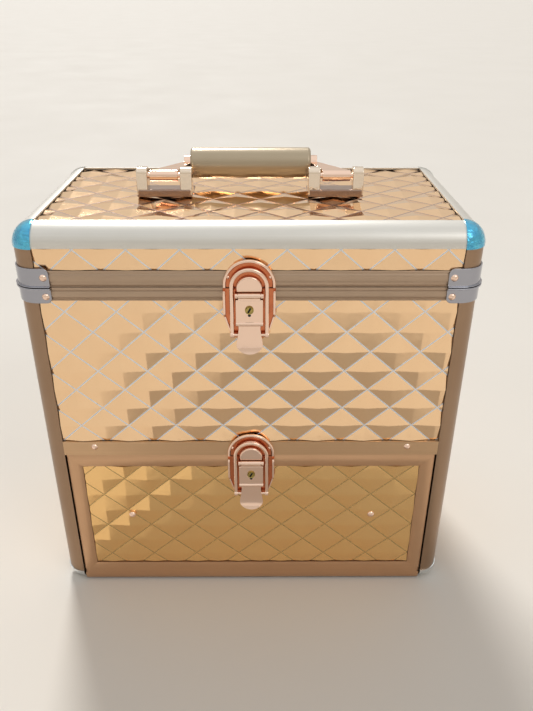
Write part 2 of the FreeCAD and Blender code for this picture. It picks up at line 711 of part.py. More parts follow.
def latch_hoop():
    """Arched hoop whose legs end in round feet with stubs that turn in the lever's bosses."""
    half = hoop_width / 2
    out0 = latch_axis_out - hoop_thickness / 2
    out1 = latch_axis_out + hoop_thickness / 2
    outside = arch(half, out0, out1, -hoop_bottom, hoop_top)
    inside = arch(half - hoop_bar, out0, out1, -hoop_bottom - 1.0, hoop_top - hoop_bar)
    pieces = [outside.cut(inside)]
    stub_depth = 4.0
    for s in (-1, 1):
        outer_end = (s * half, -latch_axis_out, -hoop_bottom)
        inner_end = (s * (half - hoop_bar), -latch_axis_out, -hoop_bottom)
        stub_end = (s * (lever_width / 2 - stub_depth), -latch_axis_out, -hoop_bottom)
        pieces.append(rod(hoop_bar * 0.75, outer_end, inner_end))
        pieces.append(rod(hoop_stub_radius, inner_end, stub_end))
    return fused(pieces)


def latch_lock():
    """Key cylinder with a slot across its face."""
    back = latch_axis_out - lever_thickness / 2 - 0.8
    front = latch_axis_out + lever_thickness / 2 + lock_proud
    plug = rod(lock_radius, (0, -back, -lock_drop), (0, -front, -lock_drop))
    slot = block(-0.5, 0.5, -front, -front + 1.2, -lock_drop - 2.1, -lock_drop + 2.1)
    return plug.cut(slot)


def latch_pin():
    """Pin through the two ears and the lever's barrel."""
    end = lever_neck / 2 + latch_clearance + ear_wall
    return rod(lever_pin_radius, (-end, -latch_axis_out, -lever_axis_drop), (end, -latch_axis_out, -lever_axis_drop))


def on_front(shape, z):
    """Place a latch piece on the front face with its joint line at the height z."""
    return moved(shape, y=-half_depth, z=z)


upper_keeper, upper_keeper_screws = latch_keeper(seam / 2)
drawer_joint = (drawer_top + divider_bottom) / 2
lower_keeper, lower_keeper_screws = latch_keeper(drawer_gap / 2)

# ---------------------------------------------------------------- drawer
front_outer = -half_depth
front_mid = -half_depth + panel_inset
inner_half = drawer_half - frame_side
inner_low = drawer_bottom + frame_bottom
inner_high = drawer_top - frame_top


def crowned_strip(width, length):
    """A drawer frame strip along X: flat back, slightly crowned face, on the front face's plane."""
    half = length / 2
    edge_y = front_outer + frame_crown
    start = V(-half, edge_y, 0)
    end = V(-half, edge_y, width)
    crown = Part.Arc(start, V(-half, front_outer, width / 2), end).toShape()
    back_low = V(-half, front_mid, 0)
    back_high = V(-half, front_mid, width)
    wire = Part.Wire([crown, Part.makeLine(end, back_high), Part.makeLine(back_high, back_low),
                      Part.makeLine(back_low, start)])
    return Part.Face(wire).extrude(V(length, 0, 0))


def mitred(strip, outline):
    """Keep the part of a strip inside an outline of x, z points."""
    return strip.common(prism([(x, front_outer - 1.0, z) for x, z in outline], (0, panel_inset + 1.0, 0)))


strip_top = moved(crowned_strip(frame_top, 2 * drawer_half), z=inner_high)
strip_top = mitred(strip_top, [(-drawer_half, drawer_top), (drawer_half, drawer_top),
                               (inner_half, inner_high), (-inner_half, inner_high)])
mitre_low = inner_low - frame_side
strip_bottom = moved(crowned_strip(frame_bottom, 2 * drawer_half), z=drawer_bottom)
strip_bottom = mitred(strip_bottom, [(-inner_half, inner_low), (inner_half, inner_low),
                                     (drawer_half, mitre_low), (drawer_half, drawer_bottom),
                                     (-drawer_half, drawer_bottom), (-drawer_half, mitre_low)])
strip_side = turned(crowned_strip(frame_side, 2 * drawer_top), 90, V(0, 1, 0))
strip_side = moved(strip_side, x=-drawer_half, z=0)
strip_left = mitred(strip_side, [(-drawer_half, mitre_low), (-inner_half, inner_low),
                                 (-inner_half, inner_high), (-drawer_half, drawer_top)])
drawer_frame = [strip_top, strip_bottom, strip_left, flipped(strip_left)]

drawer_front_board = block(-drawer_half + 1.0, drawer_half - 1.0, front_mid, -wall_y,
                           drawer_bottom + 1.0, drawer_top - 1.0)
drawer_skin = face_skin(inner_half, inner_low, inner_high, drawer_valley_shift, drawer_valley_z)
screw_face = -half_depth + apex_recess
for x in (-drawer_screw_x, drawer_screw_x):
    drawer_skin = drawer_skin.cut(rod(drawer_screw_radius, (x, -half_depth - 1.0, drawer_screw_z),
                                      (x, front_mid, drawer_screw_z)))


def drawer_screw(x):
    """Panel screw with a domed head; its shank fills the hole through the skin."""
    shank = rod(drawer_screw_radius, (x, screw_face, drawer_screw_z), (x, front_mid, drawer_screw_z))
    head = front_rivet(x, screw_face, drawer_screw_z, drawer_screw_radius, drawer_screw_head)
    return fused([shank, head])


box_outer = drawer_half - 1.0
box_rear = wall_y - drawer_rear_space
box_low = runner_ledge_z + runner_wall + runner_play
box_high = box_low + drawer_wall_height
drawer_walls = [block(s * box_outer, s * (box_outer - drawer_wall), -wall_y, box_rear, box_low, box_high)
                for s in (-1, 1)]
drawer_walls.append(block(-box_outer + drawer_wall, box_outer - drawer_wall, box_rear - drawer_wall, box_rear,
                          box_low, box_high))
drawer_floor = block(-box_outer + drawer_wall, box_outer - drawer_wall, -wall_y, box_rear - drawer_wall,
                     box_low, box_low + drawer_panel_thickness)
runner_in = box_outer - drawer_wall
runners = []
for side in (-1, 1):
    ledge = block(side * runner_in, side * wall_x, base_front, wall_y, runner_ledge_z, runner_ledge_z + runner_wall)
    flange = block(side * (wall_x - runner_wall), side * wall_x, base_front, wall_y,
                   runner_ledge_z, runner_ledge_z + runner_height)
    runners.append(fused([ledge, flange]))

# ---------------------------------------------------------------- one file per node
nodes = {
    "body_posts": posts,
    "body_rim_rails": body_rims,
    "divider_rail": divider_rail,
    "base_edge_rails": base_edges,
    "base_board": base_board,
    "back_board": back_board,
    "side_boards": side_boards,
    "front_board": front_board,
    "shelf_board": shelf_board,
    "skin_front": skin_front,
    "skin_back": skin_back,
    "skin_sides": [skin_left, flipped(skin_left)],
    "base_corner_caps": base_caps,
    "feet": feet,
    "drawer_runners": runners,
    "body_lining": body_lining,
    "body_corner_plates": on_four_corners([body_plate]),
    "body_rivets": body_rivets + [on_front(s, drawer_joint) for s in lower_keeper_screws],
    "hinge_body_leaves": hinge_body_leaves,
    "hinge_pins": hinge_pins,
    "lid_top_board": lid_top_board,
    "lid_wall_boards": lid_wall_boards,
    "lid_skin_top": lid_skin_top,
    "lid_skin_front": lid_skin_front,
    "lid_skin_back": lid_skin_back,
    "lid_skin_sides": [lid_skin_left, flipped(lid_skin_left)],
    "lid_edge_rails": lid_edges,
    "lid_posts": lid_posts,
    "lid_rim_rails": lid_rims,
    "lid_corner_caps_front": lid_caps_front,
    "lid_corner_caps_rear": lid_caps_rear,
    "lid_corner_plates": on_four_corners([lid_plate]),
    "lid_rivets": lid_rivets + [on_front(s, split_z) for s in upper_keeper_screws],
    "lid_lining": lid_lining,
    "hinge_lid_leaves": hinge_lid_leaves,
    "handle_bracket_left": flipped(handle_bracket_right),
    "handle_bracket_right": handle_bracket_right,
    "handle_pins": handle_pins,
    "handle_grip": grip,
    "handle_arm_left": flipped(handle_arm_right),
    "handle_arm_right": handle_arm_right,
    "upper_latch_keeper": on_front(upper_keeper, split_z),
    "upper_latch_base": on_front(latch_base(seam / 2), split_z),
    "upper_latch_lever": on_front(latch_lever(), split_z),
    "upper_latch_hoop": on_front(latch_hoop(), split_z),
    "upper_latch_lock": on_front(latch_lock(), split_z),
    "upper_latch_pin": on_front(latch_pin(), split_z),
    "lower_latch_keeper": on_front(lower_keeper, drawer_joint),
    "lower_latch_base": on_front(latch_base(drawer_gap / 2), drawer_joint),
    "lower_latch_lever": on_front(latch_lever(), drawer_joint),
    "lower_latch_hoop": on_front(latch_hoop(), drawer_joint),
    "lower_latch_lock": on_front(latch_lock(), drawer_joint),
    "lower_latch_pin": on_front(latch_pin(), drawer_joint),
    "drawer_frame_strips": drawer_frame,
    "drawer_front_board": drawer_front_board,
    "drawer_skin": drawer_skin,
    "drawer_walls": drawer_walls,
    "drawer_floor": drawer_floor,
    "drawer_screws": [drawer_screw(s * drawer_screw_x) for s in (-1, 1)],
}
for name, solids in nodes.items():
    save(name, solids)
print(len(nodes), "nodes")
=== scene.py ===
# %% [markdown]
# # A makeup case with a drawer, dressed in Blender
# The case stands on its feet, front towards -Y. Its frame, hinges and joints arrive as finished parts. What is left is
# to give them their looks: mirror sheets pressed into diamonds, soft-edged metal fittings, satin extrusions and felt.
# Sizes below are in millimetres, because fittings of this kind are drawn that way; each piece is scaled to metres
# once, when it is finished.

# %% Load the case
import json
import math

import bmesh
import bpy
from mathutils import Matrix, Vector


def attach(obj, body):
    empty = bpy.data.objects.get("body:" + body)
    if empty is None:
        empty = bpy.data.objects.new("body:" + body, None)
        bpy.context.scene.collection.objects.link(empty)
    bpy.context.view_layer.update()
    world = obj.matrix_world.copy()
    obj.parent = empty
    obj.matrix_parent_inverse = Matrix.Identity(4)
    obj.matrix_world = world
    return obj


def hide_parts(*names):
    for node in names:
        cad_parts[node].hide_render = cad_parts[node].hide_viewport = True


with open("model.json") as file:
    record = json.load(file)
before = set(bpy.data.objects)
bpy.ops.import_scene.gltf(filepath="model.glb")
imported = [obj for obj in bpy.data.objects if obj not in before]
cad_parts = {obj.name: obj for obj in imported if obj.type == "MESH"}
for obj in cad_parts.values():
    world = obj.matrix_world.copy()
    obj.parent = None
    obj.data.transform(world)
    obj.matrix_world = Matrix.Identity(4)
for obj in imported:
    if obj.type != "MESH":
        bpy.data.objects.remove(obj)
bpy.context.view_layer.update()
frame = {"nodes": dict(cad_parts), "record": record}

# %% [markdown]
# ## The case's own numbers
# Every new piece sits on a plane of the case, so the planes are written down once. A reader can change a number here
# and see which pieces follow it.

# %% Planes and lines of the case
HALF_WIDTH, HALF_DEPTH, TOP = 170.0, 96.0, 336.5
ARC_X, ARC_Y, ARC_HIGH, ARC_LOW = 154.0, 80.0, 320.5, 11.0
EDGE_RADIUS, BASE_RADIUS = 16.0, 9.0
SPLIT, SPLIT_GAP = 291.5, 0.3
BODY_TOP, LID_LOW = SPLIT - SPLIT_GAP, SPLIT + SPLIT_GAP
BODY_PANEL_TOP, LID_PANEL_LOW, FRONT_PANEL_LOW = 280.7, 303.8, 155.0
DRAWER_JOINT = 141.65
DRAWER_PANEL_HALF, DRAWER_PANEL_LOW, DRAWER_PANEL_TOP = 141.2, 21.4, 129.4
SKIN_BACK = 3.6
print("case", 2 * HALF_WIDTH, "x", 2 * HALF_DEPTH, "x", TOP, "mm")

# %% [markdown]
# ## The camera
# The case is looked at from just above, from arm's length. A camera's matrix is a place and three turns: first the
# tilt down, then a very small roll and heading. Writing them as separate rotations keeps each one readable.

# %% Camera
CAMERA_PLACE = (0.009855, -0.5560, 0.4830)
TILT_DOWN, HEADING, ROLL = 0.494, -0.006, 0.002
camera = bpy.data.cameras.new("case_camera")
camera.sensor_width = 36.0
camera.lens = 34.653
camera.clip_start = 0.02
camera_object = bpy.data.objects.new("case_camera", camera)
bpy.context.scene.collection.objects.link(camera_object)
camera_object.matrix_world = (Matrix.Translation(CAMERA_PLACE) @ Matrix.Rotation(HEADING, 4, "Z")
                              @ Matrix.Rotation(math.pi / 2 - TILT_DOWN, 4, "X") @ Matrix.Rotation(ROLL, 4, "Z"))
bpy.context.scene.camera = camera_object
print("camera at", [round(v, 3) for v in camera_object.matrix_world.translation])

# %% [markdown]
# ## Node helpers
# Every material here is a small tree of nodes. These helpers add a node, set its sockets by name and link it, so
# that the cells below read as a list of what the finish is made of. A socket is fed a number or another node's output.

# %% Helpers for node trees
def feed(tree, socket, value):
    """Set a socket to a number, or link it to another socket."""
    if isinstance(value, bpy.types.NodeSocket):
        tree.links.new(value, socket)
    else:
        socket.default_value = value


def add_node(tree, kind, settings=None, inputs=None):
    """A node with its settings and its sockets fed by name."""
    node = tree.nodes.new(kind)
    for name, value in (settings or {}).items():
        setattr(node, name, value)
    for name, value in (inputs or {}).items():
        feed(tree, node.inputs[name], value)
    return node


def arithmetic(tree, operation, *values):
    """One step of arithmetic."""
    node = add_node(tree, "ShaderNodeMath", {"operation": operation})
    for socket, value in zip(node.inputs, values):
        feed(tree, socket, value)
    return node.outputs["Value"]


def mixed(tree, factor, first, second, blend="MIX"):
    """Two colours mixed by a factor; a Mix node has several sockets called A and B, so they go by number."""
    node = add_node(tree, "ShaderNodeMix", {"data_type": "RGBA", "blend_type": blend})
    for place, value in (("Factor", factor), (6, first), (7, second)):
        feed(tree, node.inputs[place], value)
    return node.outputs[2]


def noise(tree, place, size, detail, **more):
    """A cloudy pattern from 0 to 1; more names further sockets."""
    return add_node(tree, "ShaderNodeTexNoise", inputs={
        "Vector": place, "Scale": size, "Detail": detail, **more}).outputs["Fac"]


def bump(tree, height, strength, distance, **more):
    """A normal tilted by a height pattern, over another Normal if one is named."""
    return add_node(tree, "ShaderNodeBump", inputs={
        "Height": height, "Strength": strength, "Distance": distance, **more}).outputs["Normal"]


def stretched_place(tree, scale):
    """Object coordinates, scaled along each axis."""
    place = add_node(tree, "ShaderNodeTexCoord")
    mapping = add_node(tree, "ShaderNodeMapping", inputs={"Vector": place.outputs["Object"], "Scale": scale})
    return mapping.outputs["Vector"]


print("node helpers ready")


# %% [markdown]
# ## Effects shared by the finishes
# Two effects come back in nearly every finish of this case. The first is handling: tone and gloss drift a little over
# the surface, because no plated or anodised piece is perfectly even. The second is brushing: hair-fine lines that run
# along an extrusion. Each is a node group with named inputs, built once and placed in each material.

# %% Shader groups
def new_group(name, inputs, outputs):
    """An empty shader group with named sockets; returns its tree, its source node and its sink node."""
    tree = bpy.data.node_groups.new(name, "ShaderNodeTree")
    for label, kind, value in inputs:
        socket = tree.interface.new_socket(name=label, in_out="INPUT", socket_type=kind)
        if value is not None:
            socket.default_value = value
    for label, kind in outputs:
        tree.interface.new_socket(name=label, in_out="OUTPUT", socket_type=kind)
    return tree, tree.nodes.new("NodeGroupInput"), tree.nodes.new("NodeGroupOutput")


def build_handling():
    """Tone and gloss that drift over a surface."""
    tree, source, sink = new_group("handling", [
        ("Place", "NodeSocketVector", None), ("Color", "NodeSocketColor", (0.8, 0.8, 0.8, 1.0)),
        ("Worn Color", "NodeSocketColor", (0.7, 0.7, 0.7, 1.0)), ("Size", "NodeSocketFloat", 30.0),
        ("Gloss", "NodeSocketFloat", 0.2), ("Gloss Drift", "NodeSocketFloat", 0.05)],
        [("Color", "NodeSocketColor"), ("Roughness", "NodeSocketFloat")])
    given = source.outputs
    cloud = noise(tree, given["Place"], given["Size"], 5.0, Roughness=0.6)
    swing = add_node(tree, "ShaderNodeMapRange", inputs={
        "Value": cloud, "From Min": 0.3, "From Max": 0.7, "To Min": -1.0, "To Max": 1.0}).outputs["Result"]
    feed(tree, sink.inputs["Color"], mixed(tree, cloud, given["Color"], given["Worn Color"]))
    feed(tree, sink.inputs["Roughness"], arithmetic(tree, "MULTIPLY_ADD", swing, given["Gloss Drift"], given["Gloss"]))
    return tree


def build_brushing():
    """Hair-fine lines; the stretch of the place decides which way they run."""
    tree, source, sink = new_group("brushing", [
        ("Place", "NodeSocketVector", None), ("Color", "NodeSocketColor", (0.8, 0.8, 0.8, 1.0)),
        ("Contrast", "NodeSocketFloat", 0.1)], [("Color", "NodeSocketColor"), ("Height", "NodeSocketFloat")])
    groove_tone = (0.35, 0.33, 0.32, 1.0)
    hair = noise(tree, source.outputs["Place"], 1.0, 3.0, Roughness=0.7)
    depth = arithmetic(tree, "MULTIPLY", hair, source.outputs["Contrast"])
    feed(tree, sink.inputs["Color"], mixed(tree, depth, source.outputs["Color"], groove_tone, "MULTIPLY"))
    feed(tree, sink.inputs["Height"], hair)
    return tree


HANDLING = build_handling()
BRUSHING = build_brushing()
print("groups:", [g.name for g in bpy.data.node_groups])

# %% [markdown]
# ## From groups to a material
# A finish is always made the same way: the handling group gives it colour and gloss, brushing may draw lines over
# that colour, and one Principled shader takes the result. A number that is the same all over the surface, such as how
# metallic a finish is, stays on the shader itself, where an export to other programs can find it.

# %% Materials that use the groups
def handled(tree, place, tint, worn, size, gloss, drift):
    """The handling group with one finish's values; gives back its colour and its roughness."""
    group = add_node(tree, "ShaderNodeGroup", {"node_tree": HANDLING}, {
        "Place": place, "Color": (*tint, 1.0), "Worn Color": (*worn, 1.0), "Size": size, "Gloss": gloss,
        "Gloss Drift": drift})
    return group.outputs["Color"], group.outputs["Roughness"]


def brushed(tree, place, color, contrast):
    """The brushing group over a colour; gives back the lined colour and the lines' height."""
    group = add_node(tree, "ShaderNodeGroup", {"node_tree": BRUSHING}, {
        "Place": place, "Color": color, "Contrast": contrast})
    return group.outputs["Color"], group.outputs["Height"]


def new_material(name):
    """An empty material and its tree."""
    made = bpy.data.materials.new(name)
    made.use_nodes = True
    made.node_tree.nodes.clear()
    return made, made.node_tree


def add_shader(tree, plain, color, roughness, normal=None):
    """The one Principled shader of a material; plain holds the numbers that are the same all over."""
    links = {"Base Color": color, "Roughness": roughness}
    if normal:
        links["Normal"] = normal
    shader = add_node(tree, "ShaderNodeBsdfPrincipled", inputs={**plain, **links})
    add_node(tree, "ShaderNodeOutputMaterial", inputs={"Surface": shader.outputs["BSDF"]})


print("helpers for finishes ready")

# %% [markdown]
# ## Metals
# One maker's recipe serves every metal: a tint, a tone it drifts to, how polished it is, and which way it is brushed.
# A metal has no colour of its own under the light, it only tints what it reflects, so the surroundings matter as
# much as these numbers.

# %% Recipe for a metal
def metal(name, tint, worn, gloss, drift, size=25.0, brush=None, contrast=0.3, dents=0.0, metallic=1.0):
    """A tinted metal; brush is the stretch of its lines, dents is how wavy a pressed sheet is."""
    made, tree = new_material(name)
    still, normal = stretched_place(tree, (1.0, 1.0, 1.0)), None
    color, roughness = handled(tree, still, tint, worn, size, gloss, drift)
    if brush:
        color, height = brushed(tree, stretched_place(tree, brush), color, contrast)
        normal = bump(tree, height, 0.02, 0.0004)
    if dents:
        normal = bump(tree, noise(tree, still, 140.0, 2.0), dents, 0.001)
    add_shader(tree, {"Metallic": metallic}, color, roughness, normal)
    return made


POST_LINES, RAIL_LINES, GRIP_LINES = (260.0, 260.0, 5.0), (5.0, 700.0, 700.0), (4.0, 500.0, 500.0)
finishes = {
    "champagne_aluminium": metal("champagne_satin", (0.38, 0.25, 0.16), (0.33, 0.21, 0.13), 0.33, 0.03,
                                 brush=POST_LINES, contrast=0.14, metallic=0.88),
    "rail_aluminium": metal("rail_satin", (0.52, 0.38, 0.27), (0.46, 0.33, 0.23), 0.40, 0.03,
                            brush=RAIL_LINES, contrast=0.2, metallic=0.75),
    "divider_satin": metal("divider_satin", (0.70, 0.46, 0.27), (0.64, 0.41, 0.23), 0.40, 0.03,
                           brush=RAIL_LINES, contrast=0.2, metallic=0.8),
    # Copper-red tone for the latches' sunken plates: painted shade with a warm painted reflection.
    "recess_painted_shade": metal("recess_painted_shade", (0.66, 0.22, 0.10), (0.50, 0.15, 0.07), 0.24, 0.06, size=120.0,
                           dents=0.3),
    "rose_chrome": metal("rose_plating", (0.94, 0.70, 0.56), (0.88, 0.62, 0.48), 0.06, 0.02, dents=0.16),
    "silver_chrome": metal("plain_chrome", (0.80, 0.82, 0.82), (0.68, 0.70, 0.70), 0.12, 0.05, dents=0.12),
    "hinge_steel": metal("hinge_plating", (0.86, 0.72, 0.63), (0.78, 0.63, 0.54), 0.16, 0.05, dents=0.05),
    "grip_satin": metal("grip_satin_gold", (0.50, 0.41, 0.29), (0.44, 0.36, 0.25), 0.30, 0.03,
                        brush=GRIP_LINES, contrast=0.12, metallic=0.78),
    "bracket_foot": metal("bracket_foot", (0.42, 0.30, 0.24), (0.30, 0.20, 0.16), 0.16, 0.06, size=90.0, dents=0.4),
    "bracket_chrome": metal("bracket_plating", (0.90, 0.77, 0.62), (0.80, 0.66, 0.52), 0.10, 0.03, dents=0.25,
                            metallic=0.84),
    "lock_brass": metal("lock_brass", (0.56, 0.43, 0.14), (0.30, 0.24, 0.08), 0.24, 0.08, size=300.0, dents=0.2),
    # The corner plates' chrome is tinted dark slate: a painted shade standing in for a dark reflection.
    "corner_plating_painted_shade": metal("corner_plating_painted_shade", (0.42, 0.42, 0.46), (0.33, 0.33, 0.37), 0.09, 0.03, dents=0.12),
}
print("metals:", sorted(finishes))

# %% [markdown]
# ## The mirror sheet
# The panels are a rose-gold mirror foil pressed into diamonds. Each facet is flat and sharp, but not perfect: the foil
# carries a faint lengthwise grain and a slow wave, which is what makes a reflection in it look like metal foil and
# not like glass. Both are bumps far too small to see as shape.

# %% Mirror foil
def mirror_foil(name, tint, worn, metallic=1.0, wave_height=0.16):
    """Rose-gold mirror foil with a faint grain and a slow wave."""
    made, tree = new_material(name)
    still = stretched_place(tree, (1.0, 1.0, 1.0))
    color, roughness = handled(tree, still, tint, worn, 45.0, 0.09, 0.025)
    grain = noise(tree, stretched_place(tree, (90.0, 1300.0, 1300.0)), 1.0, 3.0, Roughness=0.6)
    fine = bump(tree, grain, 0.05, 0.0003)
    slow = bump(tree, noise(tree, still, 90.0, 1.0), wave_height, 0.001, Normal=fine)
    add_shader(tree, {"Metallic": metallic}, color, roughness, slow)
    return made


finishes["mirror_skin"] = mirror_foil("mirror_foil", (0.96, 0.68, 0.42), (0.91, 0.61, 0.36))
# The drawer's sheet is the same foil, tinted a deeper orange as a painted warm reflection; it is also a touch less
# metallic, for a faint haze.
drawer_foil_painted_reflection = mirror_foil("drawer_foil_painted_reflection", (0.95, 0.62, 0.27), (0.90, 0.55, 0.23), 0.93, 0.2)
# Valley finishes paint the lines along the creases: a pale painted highlight for the walls, and a darker painted shade
# in gold for the drawer and in rose for the lid's top.
painted_highlight_crease = metal("painted_highlight_crease", (0.84, 0.86, 0.88), (0.70, 0.73, 0.77), 0.30, 0.05, size=160.0, metallic=0.35)
painted_shade_gold_crease = metal("painted_shade_gold_crease", (0.62, 0.42, 0.17), (0.50, 0.32, 0.12), 0.26, 0.05, size=160.0, metallic=0.6)
painted_shade_rose_crease = metal("painted_shade_rose_crease", (0.50, 0.34, 0.29), (0.34, 0.21, 0.18), 0.24, 0.05, size=160.0, metallic=0.75)
print("foil ready")

# %% [markdown]
# ## Strips whose brushing turns a corner
# The drawer's frame is four strips mitred at the corners, and its brushing follows each strip. One material does it:
# it compares how far a point lies beyond the panel sideways and upwards, and picks the lines that run along that
# strip. The lid's edge bars need the same choice between left-right and front-back.

# %% Satin that follows its strip
def turning_satin(name, tint, worn, gloss, middle, half_across, half_up, up_axis, streaks):
    """Satin metal brushed along a rectangular frame; middle and half sizes are the opening's, in metres."""
    made, tree = new_material(name)
    place = add_node(tree, "ShaderNodeTexCoord").outputs["Object"]
    apart = add_node(tree, "ShaderNodeSeparateXYZ", inputs={"Vector": place}).outputs
    across = arithmetic(tree, "ABSOLUTE", apart["X"])
    upwards = arithmetic(tree, "ABSOLUTE", arithmetic(tree, "SUBTRACT", apart[up_axis], middle))
    lead = arithmetic(tree, "SUBTRACT", across, upwards)
    pick = add_node(tree, "ShaderNodeMix", {"data_type": "VECTOR"})
    feed(tree, pick.inputs["Factor"], arithmetic(tree, "GREATER_THAN", lead, half_across - half_up))
    feed(tree, pick.inputs[4], stretched_place(tree, streaks[0]))
    feed(tree, pick.inputs[5], stretched_place(tree, streaks[1]))
    color, roughness = handled(tree, place, tint, worn, 20.0, gloss, 0.03)
    color, height = brushed(tree, pick.outputs[1], color, 0.22)
    add_shader(tree, {"Metallic": 0.84}, color, roughness, bump(tree, height, 0.012, 0.0002))
    return made


LENGTHWISE, UPRIGHT, FORE_AND_AFT = (5.0, 600.0, 600.0), (600.0, 600.0, 5.0), (600.0, 5.0, 600.0)
finishes["drawer_frame_aluminium"] = turning_satin("drawer_strip_satin", (0.70, 0.43, 0.25), (0.62, 0.37, 0.21),
                                                   0.34, 0.0750, 0.1412, 0.0544, "Z", (LENGTHWISE, UPRIGHT))
lid_edge_satin = turning_satin("lid_edge_satin", (0.78, 0.76, 0.71), (0.72, 0.69, 0.63), 0.40, 0.0, 0.154, 0.080,
                               "Y", (LENGTHWISE, FORE_AND_AFT))
print("strips ready")

# %% [markdown]
# ## Felt, board and moulded plastic
# The inside is plain: black short-nap felt, laminated board in the drawer, raw fibreboard under the skins, and black
# moulded runners and feet. Felt needs sheen, because its standing fibres catch light at a grazing angle.

# %% Soft and plain finishes
def clouded(name, tint, worn, gloss, size, relief, grain_size, plain=None):
    """A non-metal with drifting tone and a fine relief; plain holds the shader's own numbers."""
    made, tree = new_material(name)
    still = stretched_place(tree, (1.0, 1.0, 1.0))
    color, roughness = handled(tree, still, tint, worn, size, gloss, 0.06)
    grain = noise(tree, still, grain_size, 4.0, Roughness=0.7)
    add_shader(tree, plain or {}, color, roughness, bump(tree, grain, relief, 0.0005))
    return made


finishes["lining_fabric"] = clouded("black_felt", (0.030, 0.030, 0.034), (0.055, 0.053, 0.056), 0.9, 120.0, 0.6,
                                    2200.0, {"Sheen Weight": 0.5, "Sheen Roughness": 0.4})
finishes["drawer_box_board"] = clouded("laminated_board", (0.045, 0.042, 0.042), (0.060, 0.056, 0.055), 0.45, 60.0,
                                       0.25, 1500.0)
finishes["board_core"] = clouded("fibreboard", (0.42, 0.33, 0.24), (0.33, 0.25, 0.17), 0.85, 200.0, 0.5, 1800.0)
finishes["runner_plastic"] = clouded("runner_moulding", (0.055, 0.055, 0.057), (0.08, 0.08, 0.08), 0.5, 50.0, 0.2,
                                     900.0)
finishes["foot_plastic"] = clouded("foot_moulding", (0.03, 0.03, 0.03), (0.05, 0.05, 0.05), 0.4, 80.0, 0.3, 700.0)
# Near-black finish for the key slot and the lever's notch: the painted shade of a hollow.
painted_shade_black = clouded("key_slot_painted_shade", (0.008, 0.008, 0.008), (0.014, 0.013, 0.012), 0.6, 400.0, 0.2, 900.0)
print("plain finishes ready")

# %% [markdown]
# ## Film on the ball corners
# The two front ball corners of the lid still wear their transit film, a clear blue-green foil that has wrinkled over
# the chrome. Metal tinted blue-green, a stretched cellular pattern for the creases and a clear coat give it.

# %% Transit film
def transit_film():
    """Blue-green film, creased over a chrome ball."""
    made, tree = new_material("transit_film")
    still = stretched_place(tree, (1.0, 1.0, 1.0))
    color, roughness = handled(tree, still, (0.17, 0.74, 0.95), (0.01, 0.16, 0.42), 160.0, 0.16, 0.06)
    crease = add_node(tree, "ShaderNodeTexVoronoi", {"feature": "DISTANCE_TO_EDGE"}, {
        "Vector": stretched_place(tree, (1.0, 1.0, 2.2)), "Scale": 170.0, "Randomness": 1.0}).outputs["Distance"]
    ridges = bump(tree, crease, 0.35, 0.002)
    waves = bump(tree, noise(tree, still, 260.0, 3.0), 0.35, 0.0015, Normal=ridges)
    add_shader(tree, {"Metallic": 1.0, "Coat Weight": 0.6, "Coat Roughness": 0.05}, color, roughness, waves)
    return made


finishes["filmed_chrome"] = transit_film()
print("film ready")

# %% [markdown]
# ## Dressing the frame's own parts
# A part whose shape is already right keeps its mesh and only gets its finish. The record says which slot each part
# takes, so one loop dresses them all; the lid's edge bars and the divider rail have a satin of their own.

# %% Finishes on the frame's parts
slot_of = {part["node"]: part["material_slot"] for part in frame["record"]["subparts"]}
own_finish = {"lid_edge_rails": lid_edge_satin, "divider_rail": finishes["divider_satin"]}
for node_name, node_object in frame["nodes"].items():
    node_object.data.materials.clear()
    node_object.data.materials.append(own_finish.get(node_name, finishes[slot_of[node_name]]))
print("dressed", len(frame["nodes"]), "parts")

# %% [markdown]
# ## Making a finished piece
# New pieces are modelled in millimetres in a bmesh. The last step is the same for all of them: merge doubles, turn
# faces outwards, scale to metres, hang the piece under the body that carries it, and hide the part it stands for.

# %% Helper that finishes a piece
def finish_piece(name, shape, body, slot, stands_for=(), smooth=35.0, looks=()):
    """Turn a bmesh in millimetres into an object of the case.

    smooth is the angle in degrees up to which edges look soft; looks are finishes other than the slot's own.
    """
    bmesh.ops.remove_doubles(shape, verts=shape.verts, dist=0.001)
    bmesh.ops.recalc_face_normals(shape, faces=shape.faces)
    bmesh.ops.scale(shape, vec=(0.001, 0.001, 0.001), verts=shape.verts)
    for face in shape.faces:
        face.smooth = smooth > 0
    mesh = bpy.data.meshes.new(name)
    shape.to_mesh(mesh)
    shape.free()
    for finish in looks or [finishes[slot]]:
        mesh.materials.append(finish)
    piece = bpy.data.objects.new(name, mesh)
    bpy.context.scene.collection.objects.link(piece)
    if smooth > 0:
        mesh.set_sharp_from_angle(angle=math.radians(smooth))
        flatten = piece.modifiers.new("flat_faces_stay_flat", "WEIGHTED_NORMAL")
        flatten.keep_sharp = True
    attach(piece, body)
    if stands_for:
        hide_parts(*stands_for)
    print(name, len(mesh.polygons), "faces")


# %% [markdown]
# ## Cutting and rounding
# Most pieces of this case start as a plain solid that is cut by planes and then loses its sharp edges. These helpers
# pick what an operator should work on: the whole shape, its open rim, or only the edges that are sharp.

# %% Helpers for cutting and rounding
def everything(shape):
    """All that a shape is made of."""
    return shape.verts[:] + shape.edges[:] + shape.faces[:]


def only_verts(geometry):
    """The vertices among mixed geometry."""
    return [part for part in geometry if isinstance(part, bmesh.types.BMVert)]


def open_rim(shape):
    """Edges that have a face on one side only."""
    return [e for e in shape.edges if e.is_boundary]


def sharp_edges(shape, degrees):
    """Edges between two faces that meet at more than an angle."""
    return [e for e in shape.edges if len(e.link_faces) == 2 and e.calc_face_angle(0.0) > math.radians(degrees)]


def cut_away(shape, point, outward):
    """Cut a shape by a plane and drop what lies outwards of it."""
    bmesh.ops.bisect_plane(shape, geom=everything(shape), dist=0.0001, plane_co=point, plane_no=outward,
                           clear_outer=True)


